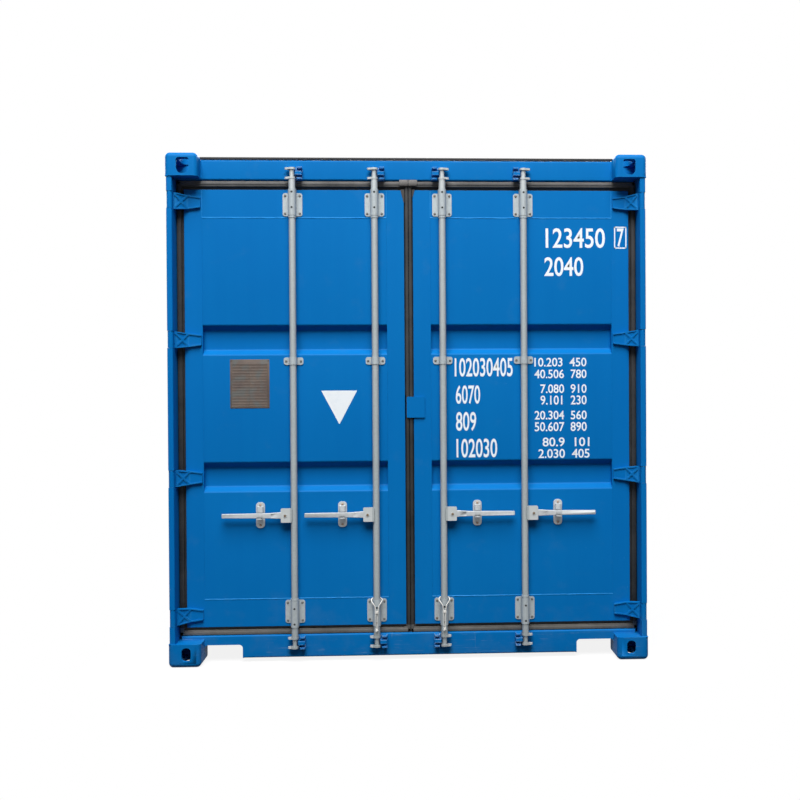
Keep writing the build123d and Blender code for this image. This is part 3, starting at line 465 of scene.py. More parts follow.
def makePlateMetal():
    coat = Finish("brushed data plate")
    brush = coat.drawnOut(*plateMetal["brush"])
    cloud = coat.noise(*plateMetal["cloud"])
    shade = coat.ramp(brush * 0.5 + cloud * 0.6, *plateMetal["darkRange"])
    base = coat.tint(plateMetal["bright"], plateMetal["dark"], shade)
    greyed = coat.ramp(coat.noise(*plateMetal["greys"]), *plateMetal["greyRange"])
    base = coat.tint(base, plateMetal["grey"], greyed)
    skin = coat.bump(brush, *plateMetal["brushBump"])
    return coat.surface(base, plateMetal["roughness"] + cloud * 0.2, skin, plateMetal["metallic"])


markingWhite = {
    "white": (0.83, 0.88, 0.92),
    "worn": (0.48, 0.60, 0.72),
    "roughness": 0.42,
    "cloud": (26.0, 5.0, 0.65),
    "wearRange": (0.5, 0.85),
    "wearAmount": 0.25,
    "specks": (150.0, 2.0),
    "speckRange": (0.66, 0.74),
    "speckAmount": 0.2,
}


def makeMarkingWhite():
    coat = Finish("white marking film")
    cloud = coat.noise(*markingWhite["cloud"])
    specks = coat.ramp(coat.noise(*markingWhite["specks"]), *markingWhite["speckRange"])
    wear = coat.ramp(cloud, *markingWhite["wearRange"]) * markingWhite["wearAmount"]
    wear = wear + specks * markingWhite["speckAmount"]
    base = coat.tint(markingWhite["white"], markingWhite["worn"], wear)
    return coat.surface(base, markingWhite["roughness"] + cloud * 0.15)


ropeFibre = {
    "white": (0.80, 0.79, 0.75),
    "soiled": (0.46, 0.42, 0.36),
    "roughness": 0.78,
    "fibres": (900.0, 3.0),
    "fibreBump": (0.0003, 0.6),
    "soil": (34.0, 4.0, 0.6),
    "soilRange": (0.45, 0.8),
    "soilAmount": 0.5,
}


def makeRopeFibre():
    coat = Finish("white rope fibre")
    fibres = coat.noise(*ropeFibre["fibres"])
    soil = coat.noise(*ropeFibre["soil"])
    dirt = coat.ramp(soil * 0.7 + fibres * 0.3, *ropeFibre["soilRange"]) * ropeFibre["soilAmount"]
    base = coat.tint(ropeFibre["white"], ropeFibre["soiled"], dirt)
    skin = coat.bump(fibres, *ropeFibre["fibreBump"])
    return coat.surface(base, ropeFibre["roughness"] + soil * 0.15, skin)


paintOf = {
    "blue_paint": makeBluePaint("blue container paint", bluePaint),
    "underseal": makeUnderCoat(),
    "galvanised_steel": makeZincCoat("hot dip zinc", zincCoat),
    "rubber": makeSealRubber("door seal rubber", sealRubber),
    "plywood": makePlywoodDeck(),
    "plate_metal": makePlateMetal(),
    "rope_fibre": makeRopeFibre(),
}
whiteFilm = makeMarkingWhite()
brightZinc = makeZincCoat("bracket zinc", zincBracket)
handleZinc = makeZincCoat("handle zinc", zincHandle)
barZinc = makeZincCoat("bar zinc", zincCoat, True)
darkRivet = makeRivetMetal("rivet steel", rivetSteel)
warmRivet = makeRivetMetal("rivet brass", rivetBrass)
brownPin = makeRivetMetal("pin steel", rivetPin)
paleRubber = makeSealRubber("corner moulding", mouldRubber)
wornLitPaint = makeBluePaint("blue paint with worn, highlit edges", bluePaint, True)
highlitBeadPaint = makeBluePaint("bead paint with painted highlight", beadHighlightPaint)
rubbedGlintPaint = makeBluePaint("keeper paint with rubbed, glinting edges", keeperPaint, True)


def finishOf(nodeName):
    if nodeName.endswith("_brackets"):
        return brightZinc
    if nodeName.endswith(("_retainers", "_handle")):
        return handleZinc
    if nodeName.endswith("_bar"):
        return barZinc
    if nodeName.endswith("keepers"):
        return rubbedGlintPaint
    if nodeName.endswith(("_hinges", "castings", "door_sill")):
        return wornLitPaint
    return paintOf[slotOf[nodeName]]


for nodeName, node in nodes.items():
    node.data.materials.clear()
    node.data.materials.append(finishOf(nodeName))
print("finishes made:", len(bpy.data.materials))


smoothAngle = 38  # edges that turn by less look smooth


def addObject(name, data):
    made = bpy.data.objects.new(name, data)
    bpy.context.scene.collection.objects.link(made)
    return made


def meshPiece(name, bm, body, slotName, material=None, sharpAngle=smoothAngle):
    for face in bm.faces:
        face.smooth = True
    for edge in bm.edges:
        edge.smooth = edge.calc_face_angle(0.0) < math.radians(sharpAngle)
    mesh = bpy.data.meshes.new(name)
    bm.to_mesh(mesh)
    bm.free()
    mesh.materials.append(material or paintOf[slotName])
    piece = addObject(name, mesh)
    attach(piece, body)
    return piece


# Copies of the CAD pieces with their sharp edges eased, as welded and dipped steel has them
edgeRounds = {
    "castings": 0.0040,
    "post": 0.0012,
    "posts": 0.0018,
    "door_header": 0.0012,
    "door_sill": 0.0014,
    "rail": 0.0014,
    "rails": 0.0014,
    "door_frame": 0.0012,
    "door_panel": 0.0005,
    "hinges": 0.0022,
    "brackets": 0.0010,
    "retainers": 0.0014,
    "_bar": 0.0012,
    "_handle": 0.0005,
    "keepers": 0.0016,
    "overlap_plate": 0.0005,
    "_seal": 0.0014,
    "pockets": 0.0012,
    "members": 0.0010,
}
sheetBends = {"left_wall": 0.010, "right_wall": 0.010, "front_wall": 0.008, "roof": 0.006}
easing = {
    "mergeWithin": 0.00002,
    "flatAngle": 0.3,
    "sheetAngle": 18,
    "sheetAngleTo": 80,
    "sheetSegments": 3,
    "edgeAngle": 40,
    "edgeSegments": 2,
}


def easedCopy(nodeName, width):
    isSheet = nodeName in sheetBends
    bm = bmesh.new()
    bm.from_mesh(nodes[nodeName].data)
    bmesh.ops.remove_doubles(bm, verts=bm.verts, dist=easing["mergeWithin"])
    flat = math.radians(easing["flatAngle"])
    bmesh.ops.dissolve_limit(bm, angle_limit=flat, verts=bm.verts, edges=bm.edges)
    weight = bm.edges.layers.float.new("bevel_weight_edge")
    least = math.radians(easing["sheetAngle" if isSheet else "edgeAngle"])
    most = math.radians(easing["sheetAngleTo"]) if isSheet else math.tau
    for edge in bm.edges:
        edge[weight] = 1.0 if least < edge.calc_face_angle(0.0) < most else 0.0
    body, slotName = nodes[nodeName]["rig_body"], slotOf[nodeName]
    piece = meshPiece("eased_" + nodeName, bm, body, slotName, finishOf(nodeName))
    bevel = piece.modifiers.new("eased edges", "BEVEL")
    bevel.limit_method = "WEIGHT"
    bevel.width = width
    bevel.segments = easing["sheetSegments" if isSheet else "edgeSegments"]
    bevel.harden_normals = True
    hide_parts(nodeName)


for nodeName in nodes:
    if nodeName in sheetBends:
        easedCopy(nodeName, sheetBends[nodeName])
        continue
    for ending, width in edgeRounds.items():
        if nodeName.endswith(ending):
            easedCopy(nodeName, width)
            break


# Small shapes that the fittings below are made of
def addBlock(bm, low, high, rounding=0.0):
    low, high = Vector(low), Vector(high)
    verts = bmesh.ops.create_cube(bm, size=1.0)["verts"]
    bmesh.ops.scale(bm, vec=high - low, verts=verts)
    bmesh.ops.translate(bm, vec=(low + high) / 2, verts=verts)
    if rounding:
        edges = list({edge for vert in verts for edge in vert.link_edges})
        bmesh.ops.bevel(bm, geom=edges, offset=rounding, segments=2, profile=0.5, affect="EDGES", material=-1)


def addRod(bm, start, end, radius, count, tip=None):
    start, end = Vector(start), Vector(end)
    run = end - start
    turn = Vector((0, 0, 1)).rotation_difference(run).to_matrix().to_4x4()
    place = Matrix.Translation((start + end) / 2) @ turn
    return bmesh.ops.create_cone(bm, cap_ends=True, segments=count, radius1=radius, depth=run.length,
                                 radius2=radius if tip is None else tip, matrix=place)["verts"]


rivetHead = {"sides": 14, "rim": 0.55, "crown": 0.6, "sunk": 0.001, "sharpAngle": 30}


def addRivet(bm, place, radius, height):
    foot = Vector(place) + Vector((0, rivetHead["sunk"], 0))
    rim = Vector(place) - Vector((0, height * rivetHead["rim"], 0))
    top = Vector(place) - Vector((0, height, 0))
    addRod(bm, foot, rim, radius, rivetHead["sides"])
    addRod(bm, rim, top, radius, rivetHead["sides"], radius * rivetHead["crown"])


def turnVerts(bm, verts, angle, axis="X"):
    bmesh.ops.rotate(bm, cent=(0, 0, 0), matrix=Matrix.Rotation(angle, 3, axis), verts=verts)


def meshOf(curve):
    holder = bpy.data.objects.new(curve.name, curve)
    mesh = bpy.data.meshes.new_from_object(holder)
    bpy.data.objects.remove(holder)
    return mesh


# The tie rope of each inner bar goes round it above the bottom bracket, bound and knotted in front
tieRope = {
    "diameter": 0.006,
    "strandCount": 3,
    "strandRadius": 0.00155,
    "strandOffset": 0.00145,
    "layLength": 0.019,
    "resolution": 20,
    "sharpAngle": 60,
    "length": 0.427,
    "route": [
        (-0.0036, -0.0265, -0.019), (-0.0036, -0.0265, 0.096), (-0.0190, -0.0255, 0.119),
        (-0.0300, -0.0080, 0.134), (-0.0210, 0.0212, 0.141), (0.0210, 0.0212, 0.141),
        (0.0300, -0.0080, 0.134), (0.0190, -0.0255, 0.119), (0.0036, -0.0265, 0.096),
        (0.0036, -0.0265, -0.019),
    ],
    "ringSides": 8,
    "ringSteps": 20,
    "bindTurns": 5,
    "bindWire": 0.0016,
    "bindFoot": 0.066,
    "bindHeight": 0.014,
    "bindSquash": (1.42, 0.62, 1.0),
    "bindRadius": 0.0056,
    "bindTilt": 0.10,
    "knotDrop": 0.001,
    "knotRing": 0.0050,
    "knotWire": 0.0024,
    "knotSquash": (1.15, 0.80, 1.0),
    "knotTilts": (-0.55, 0.0, 0.55),
    "knotStep": 0.0036,
}


def addRing(bm, centre, ringRadius, wireRadius, squash, turn):
    wire = bmesh.ops.create_circle(bm, segments=tieRope["ringSides"], radius=wireRadius)["verts"]
    turnVerts(bm, wire, math.pi / 2)
    bmesh.ops.translate(bm, vec=(ringRadius, 0, 0), verts=wire)
    edges = list({edge for vert in wire for edge in vert.link_edges})
    bmesh.ops.spin(bm, geom=wire + edges, cent=(0, 0, 0), axis=(0, 0, 1), angle=math.tau,
                   steps=tieRope["ringSteps"], use_merge=True)
    ring = [vert for vert in bm.verts if not vert.tag]
    bmesh.ops.scale(bm, vec=squash, verts=ring)
    turnVerts(bm, ring, turn, "Y")
    bmesh.ops.translate(bm, vec=centre, verts=ring)
    for vert in ring:
        vert.tag = True


def curveMesh(points, kind, thickness, resolution):
    line = bpy.data.curves.new("route line", "CURVE")
    line.dimensions = "3D"
    line.resolution_u = resolution
    line.bevel_depth = thickness
    line.bevel_resolution = 1
    line.use_fill_caps = True
    spline = line.splines.new(kind)
    spline.points.add(len(points) - 1)
    for point, place in zip(spline.points, points):
        point.co = (*place, 1.0)
    if kind == "NURBS":
        spline.order_u = 3
        spline.use_endpoint_u = True
    return meshOf(line)


def addStrands(bm, path):
    gone = 0.0
    across = Vector((1, 0, 0))
    runs = [[] for _ in range(tieRope["strandCount"])]
    for index, point in enumerate(path):
        ahead = (path[min(index + 1, len(path) - 1)] - path[max(index - 1, 0)]).normalized()
        across = (across - ahead * across.dot(ahead)).normalized()
        aside = ahead.cross(across)
        gone += (point - path[max(index - 1, 0)]).length
        for strand, run in enumerate(runs):
            turn = math.tau * (gone / tieRope["layLength"] + strand / len(runs))
            run.append(point + (across * math.cos(turn) + aside * math.sin(turn)) * tieRope["strandOffset"])
    for run in runs:
        bm.from_mesh(curveMesh(run, "POLY", tieRope["strandRadius"], 1))


def makeTieRope(side):
    axis = axisOf[f"{side}_inner_bar_turn"]
    foot = Vector((axis.x, axis.y, leafLow.z))
    route = [foot + Vector(place) for place in tieRope["route"]]
    path = [vert.co.copy() for vert in curveMesh(route, "NURBS", 0.0, tieRope["resolution"]).vertices]
    bm = bmesh.new()
    addStrands(bm, path)
    rope = meshPiece(side + "TieRope", bm, side + "_door", "rope_fibre", sharpAngle=tieRope["sharpAngle"])
    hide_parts(side + "_tie_rope")
    bm = bmesh.new()
    step = (tieRope["bindHeight"] - 2 * tieRope["bindWire"]) / (tieRope["bindTurns"] - 1)
    for turn in range(tieRope["bindTurns"]):
        rise = tieRope["bindFoot"] + tieRope["bindWire"] + turn * step
        addRing(bm, foot + Vector((0, route[0].y - foot.y, rise)), tieRope["bindRadius"], tieRope["bindWire"],
                tieRope["bindSquash"], tieRope["bindTilt"] * (-1) ** turn)
    knot = (route[0] + route[-1]) / 2
    for index, tilt in enumerate(tieRope["knotTilts"]):
        place = knot + Vector((0, 0, (index - 1) * tieRope["knotStep"] + tieRope["knotDrop"]))
        addRing(bm, place, tieRope["knotRing"], tieRope["knotWire"], tieRope["knotSquash"], tilt)
    knots = meshPiece(side + "RopeKnots", bm, side + "_door", "rope_fibre", sharpAngle=tieRope["sharpAngle"])
    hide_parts(side + "_rope_knots")


for side in sides:
    makeTieRope(side)
print("tie ropes laid")

# Rivet heads on the bar brackets, guides and retainers
rivets = {
    "bracketAside": 0.0375,
    "bracketFromEnds": 0.0135,
    "bracketHeight": 0.118,
    "bracketInset": 0.017,
    "bracketPlate": 0.004,
    "guideHeight": 1.543,
    "retainerPlate": 0.005,
    "retainerFromEnds": 0.014,
    "retainerReach": 0.174,
    "radius": 0.0062,
    "proud": 0.0042,
}


def makeRivets(side):
    bracketHeads, retainerHeads = bmesh.new(), bmesh.new()
    retainerLow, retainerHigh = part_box(side + "_handle_retainers")
    bottom = leafLow.z + rivets["bracketInset"]
    top = leafHigh.z - rivets["bracketInset"]
    ends = rivets["bracketFromEnds"]
    levels = [bottom + ends, bottom + rivets["bracketHeight"] - ends,
              top - rivets["bracketHeight"] + ends, top - ends, rivets["guideHeight"]]
    for spot in spots:
        barX = axisOf[f"{side}_{spot}_bar_turn"].x
        for level in levels:
            for aside in (-rivets["bracketAside"], rivets["bracketAside"]):
                place = (barX + aside, faceY - rivets["bracketPlate"], level)
                addRivet(bracketHeads, place, rivets["radius"], rivets["proud"])
        inset = rivets["retainerFromEnds"]
        for level in (retainerLow.z + inset, retainerHigh.z - inset):
            place = (barX + sides[side] * rivets["retainerReach"], faceY - rivets["retainerPlate"], level)
            addRivet(retainerHeads, place, rivets["radius"], rivets["proud"])
    for ending, heads, metal in (("Lock", bracketHeads, darkRivet), ("Retainer", retainerHeads, warmRivet)):
        meshPiece(f"{side}{ending}Rivets", heads, side + "_door", "galvanised_steel", metal,
                  rivetHead["sharpAngle"])


for side in sides:
    makeRivets(side)

# Dark discs in the two holes of each bracket's arch, painted shade for the holes' dark depth, and the collar
# on the bar at each bracket's inner end
bracketTrim = {
    "holeRadius": 0.0054,
    "holeSides": 16,
    "holeSpacing": 0.079,
    "holeFromEdge": 0.017,
    "holeDepth": 0.0205,
    "holeFilm": 0.0002,
    "holePlug": 0.0016,
    "holeAngle": 30,
    "collarRadius": 0.0196,
    "collarSides": 32,
    "collarHeight": 0.010,
    "collarGap": 0.002,
}


def makeBracketTrim(side):
    holeShade = bmesh.new()
    bottom = leafLow.z + bracketTrim["holeFromEdge"]
    top = leafHigh.z - bracketTrim["holeFromEdge"]
    spacing, reach = bracketTrim["holeSpacing"], bracketTrim["holeDepth"]
    gap, tall = bracketTrim["collarGap"], bracketTrim["collarHeight"]
    for spot in spots:
        axis = axisOf[f"{side}_{spot}_bar_turn"]
        for level in (bottom, bottom + spacing, top - spacing, top):
            # a dark disc set in the hole: painted shade
            front = Vector((axis.x, axis.y - reach - bracketTrim["holeFilm"], level))
            back = front + Vector((0, bracketTrim["holePlug"], 0))
            addRod(holeShade, front, back, bracketTrim["holeRadius"], bracketTrim["holeSides"])
        collars = bmesh.new()
        feet = [top - rivets["bracketHeight"] - gap - tall]
        if spot == "outer":
            feet.append(bottom + rivets["bracketHeight"] + gap)
        for foot in feet:
            start = Vector((axis.x, axis.y, foot))
            end = start + Vector((0, 0, tall))
            addRod(collars, start, end, bracketTrim["collarRadius"], bracketTrim["collarSides"])
        meshPiece(f"{side}{spot.title()}Collars", collars, f"{side}_{spot}_bar", "galvanised_steel",
                  brightZinc)
    meshPiece(side + "BracketHoleShade", holeShade, side + "_door", "rubber", sharpAngle=bracketTrim["holeAngle"])


for side in sides:
    makeBracketTrim(side)

# A pad on each handle where its retainer holds it, and the peened end of each clevis pin
handlePad = {"wide": 0.030, "tall": 0.021, "rise": 0.003, "proud": 0.0026, "sunk": 0.001, "round": 0.0012}
clevisPin = {"radius": 0.0065, "front": 0.0235, "proud": 0.0018}


def makeHandlePad(side, spot):
    low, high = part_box(f"{side}_{spot}_handle")
    lift, bar = axisOf[f"{side}_{spot}_handle_lift"], axisOf[f"{side}_{spot}_bar_turn"]
    middle = bar.x + sides[side] * rivets["retainerReach"]
    rise = (low.z + high.z) / 2 + handlePad["rise"]
    aside, above = handlePad["wide"] / 2, handlePad["tall"] / 2
    bm = bmesh.new()
    addBlock(bm, (middle - aside, low.y - handlePad["proud"], rise - above),
             (middle + aside, low.y + handlePad["sunk"], rise + above), handlePad["round"])
    start = side + spot.title()
    meshPiece(start + "HandlePad", bm, f"{side}_{spot}_handle", "galvanised_steel", handleZinc)
    bm = bmesh.new()
    front = (lift.x, bar.y - clevisPin["front"], lift.z)
    addRivet(bm, front, clevisPin["radius"], clevisPin["proud"])
    meshPiece(start + "ClevisPin", bm, f"{side}_{spot}_bar", "galvanised_steel", brownPin,
              rivetHead["sharpAngle"])


for side in sides:
    for spot in spots:
        makeHandlePad(side, spot)
print("rivets set")

# Rubber lips that close the gap round each leaf, with a moulded corner where the two leaves meet
sealLips = {
    "width": 0.021,
    "frameGap": 0.0018,
    "centreGap": 0.0008,
    "front": 0.0030,
    "back": 0.0130,
    "round": 0.0042,
    "cornerAcross": {"left": 0.017, "right": 0.010},
    "cornerDown": {"left": 0.062, "right": 0.034},
    "cornerProud": 0.0022,
    "saddleReach": 0.046,
    "saddleFoot": 0.022,
    "saddleTop": 0.0525,
    "saddleProud": 0.0085,
    "saddleBack": 0.0465,
    "headerGap": 0.0485,
    "sillGap": 0.0445,
    "postStop": 0.014,
    "behind": 0.008,
    "centreShare": 0.8,
    "cornerLap": 0.003,
    "cornerRise": 0.004,
    "saddleCap": 0.0042,
    "saddleBody": 0.0050,
    "saddleRound": 0.0015,
    "lipAngle": 50,
    "cornerAngle": 40,
}


def makeSealLips(side):
    sign = sides[side]
    postInner = abs(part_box("rear_right_post")[0].x) + sealLips["postStop"] - sealLips["frameGap"]
    headerFoot = leafHigh.z + sealLips["headerGap"] - sealLips["frameGap"]
    sillTop = leafLow.z - sealLips["sillGap"] + sealLips["frameGap"]
    front = faceY + sealLips["front"]
    back = faceY + sealLips["back"] + sealLips["behind"]
    wide, centre = sealLips["width"], sealLips["centreGap"]
    bm = bmesh.new()
    runs = [
        (centre, centre + wide * sealLips["centreShare"], sillTop, headerFoot),
        (postInner - wide, postInner, sillTop, headerFoot),
        (centre, postInner, headerFoot - wide, headerFoot),
        (centre, postInner, sillTop, sillTop + wide),
    ]
    for near, far, foot, head in runs:
        left, right = sorted((near * sign, far * sign))
        addBlock(bm, (left, front, foot), (right, back, head), sealLips["round"])
    meshPiece(side + "SealLips", bm, side + "_door", "rubber", sharpAngle=sealLips["lipAngle"])


def makeSealCorner(side):
    sign = sides[side]
    edge = abs(leafHigh.x)
    across, down = sealLips["cornerAcross"][side], sealLips["cornerDown"][side]
    back = faceY + sealLips["back"]
    bm = bmesh.new()
    left, right = sorted((sign * (edge - sealLips["cornerLap"]), sign * (edge + across)))
    addBlock(bm, (left, faceY - sealLips["cornerProud"], leafHigh.z - down),
             (right, back, leafHigh.z + sealLips["cornerRise"]))
    slope = Vector((sign * down, 0, -across)).normalized()
    pivot = (sign * (edge + across), faceY, leafHigh.z)
    geometry = list(bm.verts) + list(bm.edges) + list(bm.faces)
    bmesh.ops.bisect_plane(bm, geom=geometry, plane_co=pivot, plane_no=slope, clear_outer=True)
    bmesh.ops.holes_fill(bm, edges=[line for line in bm.edges if line.is_boundary])
    left, right = sorted((sign * sealLips["centreGap"], sign * sealLips["saddleReach"]))
    foot = leafHigh.z + sealLips["saddleFoot"]
    saddle = [
        (faceY - sealLips["saddleProud"], faceY - sealLips["saddleCap"], leafHigh.z + sealLips["saddleTop"]),
        (faceY - sealLips["saddleBody"], back, leafHigh.z + sealLips["saddleBack"]),
    ]
    for front, rear, head in saddle:
        addBlock(bm, (left, front, foot), (right, rear, head), sealLips["saddleRound"])
    meshPiece(side + "SealCorner", bm, side + "_door", "rubber", paleRubber, sealLips["cornerAngle"])


for side in sides:
    makeSealLips(side)
    makeSealCorner(side)
print("seal lips moulded")

# A dark strip along the header's top edge, where the roof meets it
headerLine = {"reach": 1.0620, "height": 0.009, "proud": 0.0012, "deep": 0.012}


def makeHeaderLine():
    low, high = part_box("door_header")
    reach, proud = headerLine["reach"], headerLine["proud"]
    bm = bmesh.new()
    addBlock(bm, (-reach, low.y - proud, high.z - headerLine["height"]),
             (reach, low.y + headerLine["deep"], high.z + proud), proud)
    meshPiece("headerDarkLine", bm, "box", "rubber", paintOf["underseal"])


makeHeaderLine()

# Weld beads where the frame and the door sheets are joined
beads = {
    "radius": 0.0030,
    "endShare": 0.6,
    "frameRadius": 0.0042,
    "sunk": 0.0012,
    "sides": 6,
    "pitch": 0.012,
    "waver": 0.18,
    "alongShare": 0.9,
    "sharpAngle": 60,
    "castingLength": 0.162,
    "castingTop": 0.118,
    "castingGap": 0.002,
    "postStrip": 0.029,
    "postInner": 1.166,
    "blindPostInner": 2.925,
    "headerDrop": 0.022,
    "sillFoot": 0.092,
}


def addBead(bm, start, end, radius):
    start, end = Vector(start), Vector(end)
    run = (end - start).normalized()
    verts = addRod(bm, start, end, radius, beads["sides"])
    lengthways = []
    for edge in {edge for vert in verts for edge in vert.link_edges}:
        ahead = (edge.verts[1].co - edge.verts[0].co).normalized()
        if abs(ahead.dot(run)) > beads["alongShare"]:
            lengthways.append(edge)
    cuts = max(1, round((end - start).length / beads["pitch"]))
    made = bmesh.ops.subdivide_edges(bm, edges=lengthways, cuts=cuts)["geom_inner"]
    for vert in made:
        if isinstance(vert, bmesh.types.BMVert):
            foot = start + run * (vert.co - start).dot(run)
            vert.co += (vert.co - foot) * chance.uniform(-beads["waver"], beads["waver"])


def makeDoorBeads(side):
    low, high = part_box(side + "_door_panel")
    beadY = low.y + beads["sunk"]
    thin = beads["radius"] * beads["endShare"]
    bm = bmesh.new()
    for level in (low.z, high.z):
        addBead(bm, (low.x, beadY, level), (high.x, beadY, level), beads["radius"])
    for edge in (low.x, high.x):  # the top rail's ends, between the stiles
        addBead(bm, (edge, beadY, high.z), (edge, beadY, leafHigh.z - beads["radius"]), thin)
    # the door welds take the paler bead paint, a painted highlight
    meshPiece(side + "DoorWelds", bm, side + "_door", "blue_paint", highlitBeadPaint, beads["sharpAngle"])


def makeFrameBeads():
    postLow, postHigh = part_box("rear_right_post")
    headerLow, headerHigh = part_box("door_header")
    castLow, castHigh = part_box("rear_top_castings")
    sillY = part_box("door_sill")[0].y
    strip, inner = postHigh.x - beads["postStrip"], castHigh.x - beads["castingLength"]
    runs = []
    for level in (postLow.z, postHigh.z):
        for endY in (postLow.y, -postLow.y):
            runs.append(((strip, endY, level), (postHigh.x, endY, level)))
        for endY, far in ((postLow.y, postHigh.y), (-postLow.y, beads["blindPostInner"])):
            runs.append(((postHigh.x, endY, level), (postHigh.x, far, level)))
    headerFoot = (beads["postInner"], headerLow.y, castLow.z)
    sillCorner = (inner, sillY, beads["castingTop"])
    runs += [
        ((inner, headerLow.y, castLow.z), (inner, headerLow.y, headerHigh.z - beads["headerDrop"])),
        ((inner + beads["castingGap"], headerLow.y, castLow.z), headerFoot),
        ((inner, sillY, beads["sillFoot"]), sillCorner),
        (sillCorner, (beads["postInner"], sillY, beads["castingTop"])),
    ]
    bm = bmesh.new()
    for sign in sides.values():
        for start, end in runs:
            addBead(bm, (sign * start[0], *start[1:]), (sign * end[0], *end[1:]), beads["frameRadius"])
    meshPiece("frameWelds", bm, "box", "blue_paint", sharpAngle=beads["sharpAngle"])


for side in sides:
    makeDoorBeads(side)
makeFrameBeads()
print("weld beads run")

# Screw heads in rows across the plywood floor, over the cross members
deckScrews = {
    "radius": 0.006,
    "height": 0.0006,
    "sides": 10,
    "across": 12,
    "rows": 19,
    "fromSide": 0.10,
    "fromEnd": 0.12,
}


def makeDeckScrews():
    low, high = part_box("floor")
    bm = bmesh.new()
    wide = high.x - low.x - 2 * deckScrews["fromSide"]
    long = high.y - low.y - 2 * deckScrews["fromEnd"]
    for row in range(deckScrews["rows"]):
        for column in range(deckScrews["across"]):
            head = Vector((low.x + deckScrews["fromSide"] + wide * column / (deckScrews["across"] - 1),
                           low.y + deckScrews["fromEnd"] + long * row / (deckScrews["rows"] - 1), high.z))
            top = head + Vector((0, 0, deckScrews["height"]))
            addRod(bm, head, top, deckScrews["radius"], deckScrews["sides"])
    meshPiece("deckScrews", bm, "box", "galvanised_steel", darkRivet)


makeDeckScrews()

# Louvred covers over the air holes high on each side wall, towards its blind end
airVents = {
    "place": 2.30,
    "head": 2.43,
    "wide": 0.235,
    "tall": 0.100,
    "proud": 0.0085,
    "sunk": 0.004,
    "round": 0.006,
    "slats": 4,
    "slatDepth": 0.0035,
    "slatHalf": 0.003,
    "slatRound": 0.0012,
}


def makeAirVents():
    bm = bmesh.new()
    start, end = airVents["place"] - airVents["wide"] / 2, airVents["place"] + airVents["wide"] / 2
    foot = airVents["head"] - airVents["tall"]
    step = airVents["tall"] / (airVents["slats"] + 1)
    half = airVents["slatHalf"]
    for side, sign in sides.items():
        low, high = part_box(side + "_wall")
        wall = max(abs(low.x), abs(high.x))
        front = wall + airVents["proud"]
        left, right = sorted((sign * (wall - airVents["sunk"]), sign * front))
        addBlock(bm, (left, start, foot), (right, end, airVents["head"]), airVents["round"])
        left, right = sorted((sign * wall, sign * (front + airVents["slatDepth"])))
        for slat in range(airVents["slats"]):
            rise = foot + step * (slat + 1)
            addBlock(bm, (left, start + step, rise - half), (right, end - step, rise + half),
                     airVents["slatRound"])
    meshPiece("airVents", bm, "box", "blue_paint")


makeAirVents()
print("floor screws and vents set")

# The metal plate on the left leaf, with blank fields pressed into it
dataPlate = {
    "columns": 2,
    "rows": 15,
    "margin": 0.009,
    "headRoom": 0.016,
    "ridge": 0.0016,
    "press": 0.0005,
    "skin": 0.0007,
    "edge": 0.0005,
    "rivetInset": 0.0055,
    "rivet": 0.0030,
    "rivetProud": 0.0022,
    "sharpAngle": 30,
}


def makeDataPlate():
    low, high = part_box("data_plate")
    bm = bmesh.new()
    addBlock(bm, low, high, dataPlate["edge"])
    grid = bmesh.ops.create_grid(bm, x_segments=dataPlate["columns"], y_segments=dataPlate["rows"], size=0.5)
    fields = grid["verts"]
    margin = dataPlate["margin"]
    room = high - low - Vector((2 * margin, 0, 2 * margin + dataPlate["headRoom"]))
    bmesh.ops.scale(bm, vec=(room.x, room.z, 1), verts=fields)
    turnVerts(bm, fields, math.pi / 2)
    place = ((low.x + high.x) / 2, low.y - dataPlate["skin"], low.z + margin + room.z / 2)
    bmesh.ops.translate(bm, vec=place, verts=fields)
    faces = list({face for vert in fields for face in vert.link_faces})
    bmesh.ops.inset_individual(bm, faces=faces, thickness=dataPlate["ridge"], depth=-dataPlate["press"])
    sheet = [face for face in bm.faces if face.calc_center_median().y < low.y - dataPlate["skin"] / 4]
    bmesh.ops.solidify(bm, geom=sheet, thickness=-dataPlate["skin"])
    inset = dataPlate["rivetInset"]
    for cornerX in (low.x + inset, high.x - inset):
        for cornerZ in (low.z + inset, high.z - inset):
            addRivet(bm, (cornerX, low.y, cornerZ), dataPlate["rivet"], dataPlate["rivetProud"])
    bmesh.ops.recalc_face_normals(bm, faces=bm.faces)
    plate = meshPiece("pressedPlate", bm, "left_door", "plate_metal", sharpAngle=dataPlate["sharpAngle"])
    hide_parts("data_plate")


makeDataPlate()
print("plate pressed")

